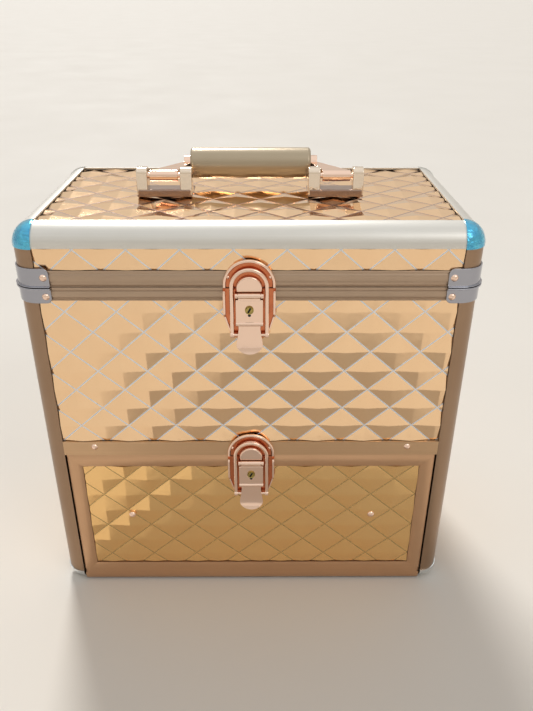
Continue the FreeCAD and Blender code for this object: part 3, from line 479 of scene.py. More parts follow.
def round_off(shape, edges, width, segments=2):
    """Round edges the way a fitting is deburred; gives back the new narrow faces."""
    return bmesh.ops.bevel(shape, geom=edges, offset=width, offset_type="OFFSET", segments=segments, profile=0.5,
                           affect="EDGES", clamp_overlap=True, material=-1)["faces"]


print("helpers for pieces ready")


# %% [markdown]
# ## Pressed diamonds
# The sheet is a grid of squares turned 45 degrees and stretched, which makes rhombs. Poking each rhomb gives it a
# middle point, and lifting that point makes a four-sided pyramid. Bevelling the edges by half a millimetre or so turns
# creases into rounded valleys and narrow ridges that catch a line of light, as real pressed foil does. Last, four
# cuts trim the sheet to its panel, and its rim is folded back to the board behind it.

# %% Diamond sheet
DIAMOND_WIDTH, DIAMOND_HEIGHT = 38.2, 33.7
SHEET, EMBOSS = 1.3, 2.0
VALLEY_WIDTH, RIDGE_WIDTH = 0.55, 0.2


def diamond_sheet(width, height, valley_x, valley_y):
    """A pressed sheet, its back on z = 0; valley_x, valley_y is a point where valleys cross."""
    shape = bmesh.new()
    reach = (width / 2 + abs(valley_x)) / DIAMOND_WIDTH + (height / 2 + abs(valley_y)) / DIAMOND_HEIGHT
    cells = 2 * math.ceil(reach + 1)
    bmesh.ops.create_grid(shape, x_segments=cells, y_segments=cells, size=cells / 2)
    bmesh.ops.rotate(shape, cent=(0, 0, 0), matrix=Matrix.Rotation(math.pi / 4, 3, "Z"), verts=shape.verts)
    root = math.sqrt(2)
    bmesh.ops.scale(shape, vec=(DIAMOND_WIDTH / root, DIAMOND_HEIGHT / root, 1), verts=shape.verts)
    bmesh.ops.translate(shape, vec=(valley_x, valley_y, SHEET), verts=shape.verts)
    beyond = [f for f in shape.faces if abs(f.calc_center_median().x) > width / 2 + DIAMOND_WIDTH / 2
              or abs(f.calc_center_median().y) > height / 2 + DIAMOND_HEIGHT / 2]
    bmesh.ops.delete(shape, geom=beyond, context="FACES")
    peaks = bmesh.ops.poke(shape, faces=shape.faces[:])["verts"]
    bmesh.ops.translate(shape, vec=(0, 0, EMBOSS), verts=peaks)
    valleys = [e for e in shape.edges if len(e.link_faces) == 2 and all(v.co.z < SHEET + 0.01 for v in e.verts)]
    # The rounded valleys take the panel's second finish, which paints a highlight along them on the walls and a shade
    # on the top and the drawer.
    for face in round_off(shape, valleys, VALLEY_WIDTH, 3):
        face.material_index = 1
    ridges = [e for e in shape.edges if len(e.link_faces) == 2
              and any(v.co.z > SHEET + EMBOSS - 0.01 for v in e.verts)]
    round_off(shape, ridges, RIDGE_WIDTH, 1)
    for x, y in ((1, 0), (-1, 0), (0, 1), (0, -1)):
        cut_away(shape, (x * width / 2, y * height / 2, 0), (x, y, 0))
    folded = bmesh.ops.extrude_edge_only(shape, edges=open_rim(shape))["geom"]
    for vertex in only_verts(folded):
        vertex.co.z = 0.0
    bmesh.ops.holes_fill(shape, edges=open_rim(shape), sides=0)
    return shape


def joined(shapes):
    """One bmesh from several."""
    whole = shapes[0]
    for other in shapes[1:]:
        scratch = bpy.data.meshes.new("scratch")
        other.to_mesh(scratch)
        other.free()
        whole.from_mesh(scratch)
        bpy.data.meshes.remove(scratch)
    return whole


def mirrored(shape):
    """The shape and its mirror image across the middle of the case."""
    twin = shape.copy()
    bmesh.ops.scale(twin, vec=(-1, 1, 1), verts=twin.verts)
    bmesh.ops.reverse_faces(twin, faces=twin.faces)
    return joined([shape, twin])


print("diamonds of", DIAMOND_WIDTH, "x", DIAMOND_HEIGHT, "mm")

# %% [markdown]
# ## The panels
# The body and the lid each wear a front, a back and two side sheets, the lid has a top and the drawer a front. All are
# the same pressed sheet, stood up and turned round the case, with a point where valleys cross that sets how the
# pattern meets the edges. A second finish along the valleys paints fine lines there: a pale painted highlight on the
# walls of the body and the lid, and a darker painted shade on the lid's top and on the drawer.

# %% Panels on the front, back, sides and top
FACE_FRONT = Matrix.Rotation(math.pi / 2, 4, "X")
PANEL_GAP = 0.4
BODY_VALLEY, LID_VALLEY, DRAWER_VALLEY = (-22.4, 270.9), (-11.0, 319.0), (7.1, 115.4)


def upright_panel(half_span, low, high, valley, turn=0):
    """A diamond panel between two heights, on the front, or turned by degrees round the case to another side."""
    middle = (low + high) / 2
    shape = diamond_sheet(2 * (half_span - PANEL_GAP), high - low - 2 * PANEL_GAP, valley[0], valley[1] - middle)
    away = HALF_WIDTH if abs(turn) == 90 else HALF_DEPTH
    place = (Matrix.Rotation(math.radians(turn), 4, "Z") @ Matrix.Translation((0, -away + SKIN_BACK, middle))
             @ FACE_FRONT)
    bmesh.ops.transform(shape, matrix=place, verts=shape.verts)
    return shape


def dress_panel(name, shape, body, node, foil=finishes["mirror_skin"], crease=painted_highlight_crease):
    """A finished panel: foil on its facets, painted valley lines from the crease finish, every facet flat."""
    finish_piece(name, shape, body, "mirror_skin", [node], smooth=0, looks=[foil, crease])


for prefix, body, node, low, high, valley in (
        ("", "case_body", "skin_", ARC_LOW, BODY_PANEL_TOP, BODY_VALLEY),
        ("lid_", "lid", "lid_skin_", LID_PANEL_LOW, ARC_HIGH, LID_VALLEY)):
    front = upright_panel(ARC_X, low if prefix else FRONT_PANEL_LOW, high, valley)
    dress_panel(prefix + "front_diamonds", front, body, node + "front")
    dress_panel(prefix + "back_diamonds", upright_panel(ARC_X, low, high, valley, turn=180), body, node + "back")
    side = upright_panel(ARC_Y, low, high, valley, turn=-90)
    dress_panel(prefix + "side_diamonds", mirrored(side), body, node + "sides")
drawer_sheet = upright_panel(DRAWER_PANEL_HALF, DRAWER_PANEL_LOW, DRAWER_PANEL_TOP, DRAWER_VALLEY)
# The drawer's foil has a painted warm reflection in its tint and a painted shade along its valleys.
dress_panel("drawer_diamonds", drawer_sheet, "drawer", "drawer_skin", drawer_foil_painted_reflection, painted_shade_gold_crease)
top_sheet = diamond_sheet(2 * (ARC_X - PANEL_GAP), 2 * (ARC_Y - PANEL_GAP), LID_VALLEY[0], 0.0)
bmesh.ops.translate(top_sheet, vec=(0, 0, TOP - SKIN_BACK), verts=top_sheet.verts)
dress_panel("lid_top_diamonds", top_sheet, "lid", "lid_skin_top", crease=painted_shade_rose_crease)

# %% [markdown]
# ## Rim rails
# Lid and body meet in two ribbed rails. Each is one extruded section: a lip with a fine edge, a shadow channel next to
# the split, a broad crowned band, and a web that caps the board. Drawing the section once and pushing it along the
# wall gives clean ribs that run true into the corner plates.

# %% Ribbed rails along the split
RAIL_BACK, WEB, CAP_BACK = 1.4, 8.6, 9.6
LID_REACH, BODY_REACH = 12.0, 10.5


def pushed(outline, push):
    """A flat outline of points, pushed along a vector into a solid."""
    shape = bmesh.new()
    face = shape.faces.new([shape.verts.new(p) for p in outline])
    moved = bmesh.ops.extrude_face_region(shape, geom=[face])["geom"]
    bmesh.ops.translate(shape, vec=push, verts=only_verts(moved))
    bmesh.ops.recalc_face_normals(shape, faces=shape.faces)
    return shape


def rail_face(edge, up):
    """The ribbed face of a rail, from the split outwards: (inset, height) points; up is 1 on the lid, -1 below."""
    ribs = [(0.3, 0.0), (0.0, 0.3), (0.0, 0.75), (0.85, 1.05), (0.85, 3.1), (0.35, 3.4), (0.1, 4.2), (0.0, 5.6),
            (0.0, 7.0), (0.1, 8.3), (0.35, 9.0)]
    reach = LID_REACH if up > 0 else BODY_REACH
    scale = reach / LID_REACH
    ribs = [(inset, height * scale) for inset, height in ribs]
    ribs += [(0.8, reach - 2.2 * scale), (0.8, reach - 1.5 * scale), (0.12, reach - 1.2 * scale),
             (0.12, reach - 0.3), (0.4, reach)]
    return [(inset, edge + up * height) for inset, height in ribs]


def rail_section(up):
    """Closed section of a rim rail as (inset, height)."""
    if up > 0:
        inside = [(RAIL_BACK, LID_PANEL_LOW), (RAIL_BACK, 296.8), (WEB, 296.8), (WEB, LID_PANEL_LOW),
                  (CAP_BACK, LID_PANEL_LOW), (CAP_BACK, 295.4), (RAIL_BACK, 295.4), (RAIL_BACK, LID_LOW)]
        return rail_face(LID_LOW, 1) + inside
    inside = [(RAIL_BACK, BODY_PANEL_TOP), (RAIL_BACK, 289.8), (WEB, 289.8), (WEB, BODY_PANEL_TOP),
              (CAP_BACK, BODY_PANEL_TOP), (CAP_BACK, BODY_TOP)]
    return rail_face(BODY_TOP, -1) + inside


def rail_bar(up, half_length, away, turn):
    """One rim rail on a side of the case; away is that side's distance from the middle."""
    outline = [(-half_length, -away + inset, height) for inset, height in rail_section(up)]
    shape = pushed(outline, (2 * half_length, 0, 0))
    bmesh.ops.rotate(shape, cent=(0, 0, 0), matrix=Matrix.Rotation(math.radians(turn), 3, "Z"), verts=shape.verts)
    return shape


def cuboid(x0, x1, y0, y1, z0, z1):
    """A box between two corners."""
    shape = bmesh.new()
    bmesh.ops.create_cube(shape, size=1.0)
    bmesh.ops.scale(shape, vec=(abs(x1 - x0), abs(y1 - y0), abs(z1 - z0)), verts=shape.verts)
    bmesh.ops.translate(shape, vec=((x0 + x1) / 2, (y0 + y1) / 2, (z0 + z1) / 2), verts=shape.verts)
    return shape


def rail_ring(up):
    """The four rim rails of the lid or of the body."""
    return [rail_bar(up, ARC_X, HALF_DEPTH, 0), rail_bar(up, ARC_X, HALF_DEPTH, 180),
            rail_bar(up, ARC_Y, HALF_WIDTH, 90), rail_bar(up, ARC_Y, HALF_WIDTH, -90)]


TONGUE = (290.5, 294.2)
tongues = [cuboid(-ARC_X, ARC_X, -94.0, -92.4, *TONGUE)]
tongues += [cuboid(s * 168.0, s * 166.4, -ARC_Y, 50.0, *TONGUE) for s in (-1, 1)]
finish_piece("lid_ribbed_rails", joined(rail_ring(1)), "lid", "rail_aluminium", ["lid_rim_rails"], smooth=20.0)
finish_piece("body_ribbed_rails", joined(rail_ring(-1) + tongues), "case_body", "rail_aluminium",
             ["body_rim_rails"], smooth=20.0)

# %% [markdown]
# ## Ball corners
# A ball corner is an eighth of a hollow ball, pressed from sheet. A ball cut by three planes through its middle gives
# it; the rim is then drawn inwards so that the shell has a visible edge. The lower corners are flatter cups, so those
# are a section spun a quarter turn round the post.

# %% Ball corners of the lid and cups of the base
CORNER_PROUD, CORNER_OVERLAP = 0.8, 0.5
CUP_STEPS = 8


def ball_corner(sx, sy):
    """An eighth of a ball over one top corner of the lid."""
    shape = bmesh.new()
    bmesh.ops.create_uvsphere(shape, u_segments=64, v_segments=32, radius=EDGE_RADIUS + CORNER_PROUD)
    for outward in ((-sx, 0, 0), (0, -sy, 0), (0, 0, -1)):
        cut_away(shape, [CORNER_OVERLAP * c for c in outward], outward)
    inner = bmesh.ops.extrude_edge_only(shape, edges=open_rim(shape))["geom"]
    bmesh.ops.scale(shape, vec=(0.95, 0.95, 0.95), verts=only_verts(inner))
    bmesh.ops.translate(shape, vec=(sx * ARC_X, sy * ARC_Y, ARC_HIGH), verts=shape.verts)
    return shape


def base_cup(sx, sy):
    """A cup with a rounded lower edge round the foot of a post."""
    outer, fillet, low = EDGE_RADIUS + CORNER_PROUD, BASE_RADIUS + CORNER_PROUD, 1.2
    section = [(outer - 0.7, ARC_LOW + 0.6), (outer, ARC_LOW + 0.5), (outer, ARC_LOW)]
    for step in range(1, CUP_STEPS + 1):
        angle = math.radians(90 * step / CUP_STEPS)
        section.append((outer - fillet + fillet * math.cos(angle), low + fillet - fillet * math.sin(angle)))
    section.append((0.0, low))
    shape = bmesh.new()
    points = [shape.verts.new((r, 0, z)) for r, z in section]
    edges = [shape.edges.new(pair) for pair in zip(points, points[1:])]
    start = {(1, 1): 0, (-1, 1): 90, (-1, -1): 180, (1, -1): 270}[(sx, sy)]
    bmesh.ops.rotate(shape, cent=(0, 0, 0), matrix=Matrix.Rotation(math.radians(start), 3, "Z"), verts=shape.verts)
    bmesh.ops.spin(shape, geom=points + edges, cent=(0, 0, 0), axis=(0, 0, 1), angle=math.pi / 2, steps=20)
    bmesh.ops.translate(shape, vec=(sx * ARC_X, sy * ARC_Y, 0), verts=shape.verts)
    return shape


for name, sy, slot, node in (("filmed_ball_corners", -1, "filmed_chrome", "lid_corner_caps_front"),
                             ("rear_ball_corners", 1, "silver_chrome", "lid_corner_caps_rear")):
    finish_piece(name, joined([ball_corner(sx, sy) for sx in (-1, 1)]), "lid", slot, [node], smooth=50.0)
finish_piece("base_cups", joined([base_cup(sx, sy) for sx in (-1, 1) for sy in (-1, 1)]), "case_body",
             "silver_chrome", ["base_corner_caps"], smooth=50.0)

# %% [markdown]
# ## Softened copies
# Plates, leaves and arms are right in shape but too crisp: real fittings are pressed and tumbled, and every edge of
# them carries a thin highlight. A merged copy of the part, its flat triangles dissolved into whole faces, can be
# bevelled all round in one go.

# %% Softened copies of fittings
def softened(node, width):
    """A copy of a frame part, in millimetres, with its sharp edges rounded."""
    shape = bmesh.new()
    shape.from_mesh(frame["nodes"][node].data)
    bmesh.ops.scale(shape, vec=(1000, 1000, 1000), verts=shape.verts)
    bmesh.ops.remove_doubles(shape, verts=shape.verts, dist=0.005)
    bmesh.ops.dissolve_limit(shape, angle_limit=math.radians(0.5), verts=shape.verts, edges=shape.edges)
    round_off(shape, sharp_edges(shape, 32), width)
    return shape


for node, width, body, slot in (("body_corner_plates", 0.45, "case_body", "rose_chrome"),
                                ("lid_corner_plates", 0.45, "lid", "rose_chrome"),
                                ("hinge_body_leaves", 0.3, "case_body", "hinge_steel"),
                                ("hinge_lid_leaves", 0.3, "lid", "hinge_steel"),
                                ("handle_arm_left", 0.9, "handle", "rose_chrome"),
                                ("handle_arm_right", 0.9, "handle", "rose_chrome")):
    # The corner plates take the dark slate plating, a painted shade, in place of their rose chrome.
    finish_piece("soft_" + node, softened(node, width), body, slot, [node], smooth=40.0,
                 looks=[finishes["corner_plating_painted_shade"]] if "plates" in node else ())

# %% [markdown]
# ## Handle brackets
# Each bracket is a heavy clevis: two ears with rounded crowns on a foot plate, joined at the front by a sill. Blocks
# with generous bevels look cast and polished; the crowns get a wider bevel than the feet.

# %% Brackets
BRACKET_IN, BRACKET_OUT, BRACKET_FRONT = 45.65, 89.15, -20.3


def second_finish(shape):
    """Give all the faces of one part of a piece its second finish."""
    for face in shape.faces:
        face.material_index = 1
    return shape


def rounded_block(spans, width, segments=3):
    """A block with all its edges rounded."""
    shape = cuboid(*spans)
    round_off(shape, shape.edges[:], width, segments)
    return shape


def ear(x0, x1):
    """One ear of a bracket, with a rounded crown and a front that leans back."""
    foot = TOP + 0.5
    shape = cuboid(x0, x1, BRACKET_FRONT, -7.0, foot, TOP + 22.2)
    crown = [e for e in shape.edges if all(v.co.z > TOP + 20 for v in e.verts)
             and abs(e.verts[0].co.x - e.verts[1].co.x) > 1]
    round_off(shape, crown, 4.2, 6)
    for vertex in shape.verts:
        if vertex.co.y < -15:
            vertex.co.y += 0.08 * (vertex.co.z - foot)
    round_off(shape, sharp_edges(shape, 40), 0.8, 3)
    return shape


foot_plate = rounded_block((BRACKET_IN, BRACKET_OUT, BRACKET_FRONT, 8.0, TOP, TOP + 2.6), 0.9)
sill = rounded_block((47.0, 88.0, -20.9, -17.6, TOP + 0.4, TOP + 6.0), 0.9)
bracket = joined([ear(BRACKET_IN, 55.05), ear(80.55, BRACKET_OUT), second_finish(foot_plate), second_finish(sill)])
left_bracket = bracket.copy()
bmesh.ops.scale(left_bracket, vec=(-1, 1, 1), verts=left_bracket.verts)
for side, shape in (("right", bracket), ("left", left_bracket)):
    finish_piece(side + "_bracket", shape, "lid", "rose_chrome", ["handle_bracket_" + side], smooth=40.0,
                 looks=[finishes["bracket_chrome"], finishes["bracket_foot"]])

# %% [markdown]
# ## The grip
# The grip is a satin tube with softly closed ends. It is a section spun once round its own line; doubles along the
# seam are merged so that the tube is closed.

# %% Grip
GRIP_Y, GRIP_Z, GRIP_RADIUS, GRIP_HALF = 17.0, 355.2, 12.3, 49.0
GRIP_BORE, GRIP_ROUND, GRIP_STEPS = 4.2, 2.4, 6


def grip_tube():
    """A section of the grip, spun round the line through its middle."""
    section = [(-GRIP_HALF, GRIP_BORE), (-GRIP_HALF, GRIP_RADIUS - GRIP_ROUND)]
    for step in range(1, GRIP_STEPS + 1):
        angle = math.radians(90 * step / GRIP_STEPS)
        section.append((-GRIP_HALF + GRIP_ROUND - GRIP_ROUND * math.cos(angle),
                        GRIP_RADIUS - GRIP_ROUND + GRIP_ROUND * math.sin(angle)))
    section += [(-x, r) for x, r in reversed(section)]
    shape = bmesh.new()
    points = [shape.verts.new((x, GRIP_Y, GRIP_Z + r)) for x, r in section]
    edges = [shape.edges.new(pair) for pair in zip(points, points[1:])]
    bmesh.ops.spin(shape, geom=points + edges, cent=(0, GRIP_Y, GRIP_Z), axis=(1, 0, 0), angle=2 * math.pi,
                   steps=72, use_merge=True)
    return shape


finish_piece("satin_grip", grip_tube(), "handle", "grip_satin", ["handle_grip"], smooth=50.0)

# %% [markdown]
# ## Draw latches
# A draw latch has a keeper above the joint and a base below it. The lever swings on ears of the base and pulls the
# hoop down over the keeper. All pieces are drawn with the joint on z = 0 and the case's face on y = 0, out towards -Y,
# and placed twice: once on the split and once on the drawer.

# %% Latch helpers
LEVER_OUT, LEVER_DROP, HOOP_DROP, LOCK_DROP, NOTCH_DROP = 4.2, 5.2, 36.5, 15.8, 20.2
LATCHES = {"upper": (SPLIT, "lid", "case_body"), "lower": (DRAWER_JOINT, "case_body", "drawer")}


def disc(radius, middle, axis, depth, sides=48):
    """A round bar of a length, centred on a point, along X or Y."""
    shape = bmesh.new()
    bmesh.ops.create_cone(shape, cap_ends=True, segments=sides, radius1=radius, radius2=radius, depth=depth)
    turn = Matrix.Rotation(math.pi / 2, 3, {"X": "Y", "Y": "X"}[axis])
    bmesh.ops.rotate(shape, cent=(0, 0, 0), matrix=turn, verts=shape.verts)
    bmesh.ops.translate(shape, vec=middle, verts=shape.verts)
    return shape


def drawn_down(shape, distance):
    """Pull the open rim of a shape down and close its holes."""
    moved = bmesh.ops.extrude_edge_only(shape, edges=open_rim(shape))["geom"]
    bmesh.ops.translate(shape, vec=(0, 0, -distance), verts=only_verts(moved))
    bmesh.ops.holes_fill(shape, edges=open_rim(shape), sides=0)


def arch_plate(half, low, top, near, far, width):
    """A plate with a half-round top: a disc, cut at its middle and drawn down."""
    middle = top - half
    shape = disc(half, (0, -(near + far) / 2, middle), "Y", far - near, 64)
    cut_away(shape, (0, 0, middle), (0, 0, -1))
    drawn_down(shape, middle - low)
    bmesh.ops.recalc_face_normals(shape, faces=shape.faces)
    round_off(shape, sharp_edges(shape, 50), width, 3)
    return shape


def arch_tube(half, low, top, out, radius, squash=1.0):
    """A round bar bent into an arch: a circle spun half a turn, its two legs drawn down."""
    middle = top - half
    shape = bmesh.new()
    bmesh.ops.create_circle(shape, cap_ends=False, segments=16, radius=radius)
    bmesh.ops.scale(shape, vec=(1, squash, 1), verts=shape.verts)
    bmesh.ops.translate(shape, vec=(half - radius, -out, middle), verts=shape.verts)
    bmesh.ops.spin(shape, geom=shape.verts[:] + shape.edges[:], cent=(0, -out, middle), axis=(0, -1, 0),
                   angle=math.pi, steps=40)
    drawn_down(shape, middle - low)
    return shape


print("latches on joints at", SPLIT, "and", DRAWER_JOINT, "mm")

# %% [markdown]
# ## The keeper
# The keeper is the plate over the joint that the hoop closes on. It is dished from sheet, so its rim is rolled and a
# second step runs inside it. A flat arch with two bent bars on it reads the same and stays light.

# %% Keeper: arched plate, rolled rim and inner step
def keeper():
    """Dished plate with a rolled rim."""
    # The dished plate takes the second finish: copper-red painted shade inside the rim.
    plate = second_finish(arch_plate(18.6, 0.4, 21.0, 0.0, 1.2, 0.3))
    rim = arch_tube(19.3, 0.4, 21.6, 1.1, 1.35)
    step = arch_tube(12.9, 0.4, 15.0, 1.1, 0.9)
    return joined([plate, rim, step])


print("keeper ready")


# %% [markdown]
# ## The base
# The base is folded from one sheet: cheeks stand up at its sides to guard the hoop, two ears hold the lever, and a
# round nose fills the keeper's arch. Each fold is an outline pushed to the thickness of the sheet.

# %% Base: plate, cheeks, ears and nose
def rounded_plate(outline, push, sharp, width, segments):
    """A pushed outline, rounded where its faces meet sharply."""
    shape = pushed(outline, push)
    round_off(shape, sharp_edges(shape, sharp), width, segments)
    return shape


def latch_base():
    """Tapered plate with cheeks that guard the hoop, ears for the lever and a round nose."""
    half = [(19.3, -0.3), (19.3, -22.0), (13.6, -38.6), (11.6, -40.0)]
    outline = [(-19.3, -0.3)] + half + [(-x, z) for x, z in reversed(half[1:])]
    # The base plate, like the lever ears below, takes the second finish: copper-red painted shade behind the lever and
    # hoop.
    parts = [second_finish(rounded_plate([(x, 0, z) for x, z in outline], (0, -1.3, 0), 50, 0.3, 2))]
    cheek = [(0, -1.6), (-4.3, -1.6), (-5.0, -4.0), (-4.6, -20.0), (-2.4, -23.0), (0, -23.0)]
    taper = [(19.1, -22.0), (17.3, -22.0), (12.0, -39.4), (13.4, -38.8)]
    lever_ear = [(0, 0.3), (-5.0, 0.3), (-5.4, -2.0), (-4.6, -14.0), (0, -16.0)]
    for s in (-1, 1):
        parts.append(rounded_plate([(s * 19.2, y, z) for y, z in cheek], (-s * 1.8, 0, 0), 30, 0.5, 3))
        parts.append(rounded_plate([(s * x, 0, z) for x, z in taper], (0, -2.6, 0), 40, 0.5, 3))
        parts.append(second_finish(
            rounded_plate([(s * 11.15, y, z) for y, z in lever_ear], (-s * 0.85, 0, 0), 30, 0.3, 2)))
        parts.append(disc(2.1, (s * 9.4, -LEVER_OUT, -LEVER_DROP), "X", 1.9, 32))
    nose = arch_plate(9.7, -2.6, 9.6, 1.2, 4.4, 1.4)
    return joined(parts + [nose])


print("base ready")


# %% [markdown]
# ## The lever
# The lever turns on a barrel at its top. Its square face carries the lock, a fold stiffens it, and a tab below curls
# away from the case for a thumb. The tab is sliced into thin bands first, so that it can bend smoothly.

# %% Lever: barrel, square face, fold and thumb tab
TAB_TOP, TAB_ROUND, TAB_LOW, TAB_HALF = -27.5, -44.6, -51.2, 9.9


def thumb_tab():
    """The tab under the fold: a waisted plate that widens, ends round and curls forwards."""
    outline = [(8.4, TAB_TOP), (8.1, -31.0), (8.6, -36.0), (9.6, -41.5), (TAB_HALF, TAB_ROUND)]
    for step in range(1, 10):
        angle = math.radians(90 * step / 10)
        outline.append((TAB_HALF * math.cos(angle), TAB_ROUND + (TAB_LOW - TAB_ROUND) * math.sin(angle)))
    outline += [(0.0, TAB_LOW)] + [(-x, z) for x, z in reversed(outline)]
    shape = pushed([(x, -3.2, z) for x, z in outline], (0, -2.0, 0))
    for height in range(-30, -51, -1):
        bmesh.ops.bisect_plane(shape, geom=everything(shape), dist=0.0001, plane_co=(0, 0, height),
                               plane_no=(0, 0, 1))
    round_off(shape, sharp_edges(shape, 50), 0.5, 2)
    for vertex in shape.verts:
        t = max(0.0, (TAB_TOP - vertex.co.z) / (TAB_TOP - TAB_LOW))
        vertex.co.y -= 0.5 * t + 2.7 * t ** 6
    return shape


def lever():
    """The lever of a latch."""
    barrel = disc(2.1, (0, -LEVER_OUT, -LEVER_DROP), "X", 16.2)
    neck = rounded_block((-8.1, 8.1, -5.2, -3.1, -9.0, -LEVER_DROP), 0.3, 2)
    face = rounded_block((-10.1, 10.1, -5.3, -3.1, -27.6, -8.0), 0.7, 3)
    fold = disc(1.75, (0, -4.55, -27.4), "X", 20.2)
    round_off(fold, sharp_edges(fold, 50), 0.4, 2)
    boss = disc(2.3, (0, -LEVER_OUT, -HOOP_DROP), "X", 15.6, 32)
    bmesh.ops.scale(boss, vec=(1, 0.5, 1), space=Matrix.Translation((0, LEVER_OUT - 1.2, 0)), verts=boss.verts)
    return joined([barrel, neck, face, fold, thumb_tab(), boss])


print("lever ready")


# %% [markdown]
# ## Hoop and key cylinder
# The hoop is one bent wire whose round feet turn in the lever. The key cylinder is a brass plug in a ring. Its slot is
# cut with four planes and pushed in, because a real hollow keeps its dark look from every side; its floor and walls
# are also painted black, as painted shade.

# %% Hoop and key cylinder
KEY_LEAN, KEY_HALF_WIDTH, KEY_HALF_LENGTH = math.radians(28), 0.7, 2.2


def hoop():
    """Arched bar with round feet that turn in the lever."""
    parts = [arch_tube(14.4, -35.5, 16.2, LEVER_OUT, 1.5, 0.85)]
    for s in (-1, 1):
        foot = disc(2.25, (s * 12.9, -LEVER_OUT, -HOOP_DROP), "X", 3.0, 32)
        round_off(foot, sharp_edges(foot, 50), 0.6, 2)
        parts += [foot, disc(1.2, (s * 9.4, -LEVER_OUT, -HOOP_DROP), "X", 5.0, 24)]
    return joined(parts)


def key_cylinder():
    """Turned brass plug with a ring and a slanting key slot."""
    def on_front(face):
        return face.normal.y < -0.9 and face.calc_center_median().y < -6.0

    shape = disc(3.2, (0, -4.75, 0), "Y", 2.9)
    front = min(shape.faces, key=lambda f: f.calc_center_median().y)
    bmesh.ops.inset_region(shape, faces=[front], thickness=0.5, depth=-0.25)
    bmesh.ops.inset_region(shape, faces=[front], thickness=0.15, depth=0.3)
    along = Vector((math.sin(KEY_LEAN), 0, math.cos(KEY_LEAN)))
    across = Vector((along.z, 0, -along.x))
    for direction, reach in ((across, KEY_HALF_WIDTH), (-across, KEY_HALF_WIDTH), (along, KEY_HALF_LENGTH),
                             (-along, KEY_HALF_LENGTH)):
        near = [f for f in shape.faces if on_front(f)]
        parts = {v for f in near for v in f.verts} | {e for f in near for e in f.edges} | set(near)
        bmesh.ops.bisect_plane(shape, geom=list(parts), dist=0.0001, plane_co=direction * reach, plane_no=direction)
    slot = [f for f in shape.faces if on_front(f)
            and abs(f.calc_center_median().dot(across)) < KEY_HALF_WIDTH - 0.05
            and abs(f.calc_center_median().dot(along)) < KEY_HALF_LENGTH - 0.1]
    walls = bmesh.ops.inset_region(shape, faces=slot, thickness=0.02, depth=-0.9)["faces"]
    # The slot's floor and walls take the black second finish: painted shade.
    for face in slot + walls:
        face.material_index = 1
    bmesh.ops.translate(shape, vec=(0, 0, -LOCK_DROP), verts=shape.verts)
    return shape


print("hoop and key cylinder ready")


# %% Both latches in place
for level, (joint, above, below) in LATCHES.items():
    for label, shape, body, slot, node in (
            ("keeper", keeper(), above, "rose_chrome", "keeper"),
            ("base", latch_base(), below, "rose_chrome", "base"),
            ("lever", lever(), level + "_lever", "rose_chrome", "lever"),
            ("hoop", hoop(), level + "_hoop", "rose_chrome", "hoop"),
            ("key_cylinder", key_cylinder(), level + "_lock", "lock_brass", "lock")):
        bmesh.ops.translate(shape, vec=(0, -HALF_DEPTH, joint), verts=shape.verts)
        # The key cylinder's second finish is the black painted shade of its slot; every other latch piece takes the
        # copper-red painted shade.
        second = painted_shade_black if label == "key_cylinder" else finishes["recess_painted_shade"]
        finish_piece(level + "_" + label, shape, body, slot, [level + "_latch_" + node], smooth=40.0,
                     looks=[finishes[slot], second])
    # A thin black disc on the lever's face stands for a small hole: a painted shade, not a hole.
    notch = disc(1.15, (0, -HALF_DEPTH - 5.0, joint - NOTCH_DROP), "Y", 0.7, 24)
    finish_piece(level + "_key_notch_painted_shade", notch, level + "_lever", "rose_chrome", smooth=40.0, looks=[painted_shade_black])

# %% [markdown]
# ## The floor
# The case stands on one plain, pale, matt floor that is wide enough to reach the horizon from every side. It only has
# a faint drift of tone. It isn't part of the case.

# %% Floor
FLOOR_HALF = 60.0
floor_finish = clouded("pale_floor", (0.80, 0.75, 0.67), (0.77, 0.72, 0.64), 0.8, 3.0, 0.05, 300.0)
floor_mesh = bpy.data.meshes.new("floor")
floor_shape = bmesh.new()
bmesh.ops.create_grid(floor_shape, x_segments=1, y_segments=1, size=FLOOR_HALF)
floor_shape.to_mesh(floor_mesh)
floor_shape.free()
floor_mesh.materials.append(floor_finish)
floor = bpy.data.objects.new("floor", floor_mesh)
bpy.context.scene.collection.objects.link(floor)
print("floor laid,", len(floor_mesh.polygons), "face")

# %% [markdown]
# ## A plain pale studio
# The backdrop is one pale tone that grows a little lighter overhead, as under a soft ceiling. The camera, the mirrors
# and any glass all see it, so the metal shows the same studio that stands behind the case; matt surfaces get an even
# soft light from all round.

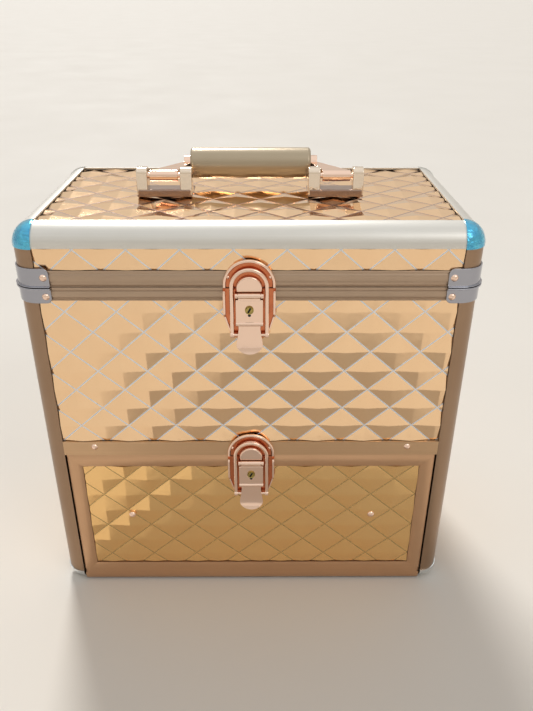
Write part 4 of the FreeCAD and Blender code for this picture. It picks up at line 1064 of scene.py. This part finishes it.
# %% World
BACKDROP, OVERHEAD, SOFT_LIGHT = (0.66, 0.62, 0.56, 1.0), (0.95, 0.95, 0.94, 1.0), (0.50, 0.50, 0.51, 1.0)
PALING_FROM, PALING_TO = 0.15, 0.95
world = bpy.data.worlds.new("plain_studio")
bpy.context.scene.world = world
world.use_nodes = True
studio = world.node_tree
studio.nodes.clear()
towards = add_node(studio, "ShaderNodeTexCoord").outputs["Generated"]
height = add_node(studio, "ShaderNodeSeparateXYZ", inputs={"Vector": towards}).outputs["Z"]
paling = add_node(studio, "ShaderNodeMapRange", {"interpolation_type": "SMOOTHSTEP"}, {
    "Value": height, "From Min": PALING_FROM, "From Max": PALING_TO}).outputs["Result"]
ray = add_node(studio, "ShaderNodeLightPath").outputs
looked_at = arithmetic(studio, "MAXIMUM", ray["Is Camera Ray"], ray["Is Glossy Ray"])
looked_at = arithmetic(studio, "MAXIMUM", looked_at, ray["Is Transmission Ray"])
surroundings = mixed(studio, looked_at, SOFT_LIGHT, mixed(studio, paling, BACKDROP, OVERHEAD))
backdrop = add_node(studio, "ShaderNodeBackground", inputs={"Color": surroundings, "Strength": 1.0})
add_node(studio, "ShaderNodeOutputWorld", inputs={"Surface": backdrop.outputs["Background"]})
print("studio ready")

# %% [markdown]
# ## Soft lamps
# One wide, even lamp shines from behind the case and above it, so that the case throws a soft shadow forwards. A
# mirror that is seen from above shows the floor in front of it, and there the shadow ends: facets that lean down
# mirror the shaded floor, facets that lean up mirror the lit floor, and the pressed pattern reads. A weak lamp in
# front keeps the shaded side from going dull.

# %% Lamps
LAMP_AIM = Vector((0, 0, 0.15))


def add_lamp(name, kind, strength, place):
    """A lamp at a place in metres that looks at the middle of the case."""
    lamp = bpy.data.lights.new(name, kind)
    lamp.energy = strength
    lamp_object = bpy.data.objects.new(name, lamp)
    bpy.context.scene.collection.objects.link(lamp_object)
    lamp_object.location = place
    lamp_object.rotation_euler = (LAMP_AIM - Vector(place)).to_track_quat("-Z", "Y").to_euler()
    return lamp, lamp_object


key_lamp, key_object = add_lamp("key_lamp", "SUN", 2.15, (-0.30, 1.2, 1.33))
key_lamp.angle = math.radians(14)
fill_lamp, fill_object = add_lamp("fill_lamp", "AREA", 3.0, (0.9, -1.1, 1.5))
fill_lamp.shape, fill_lamp.size = "DISK", 0.9
fill_object.visible_camera = False
bpy.context.scene.view_settings.view_transform = "Standard"
print("lamps:", key_object.name, fill_object.name)
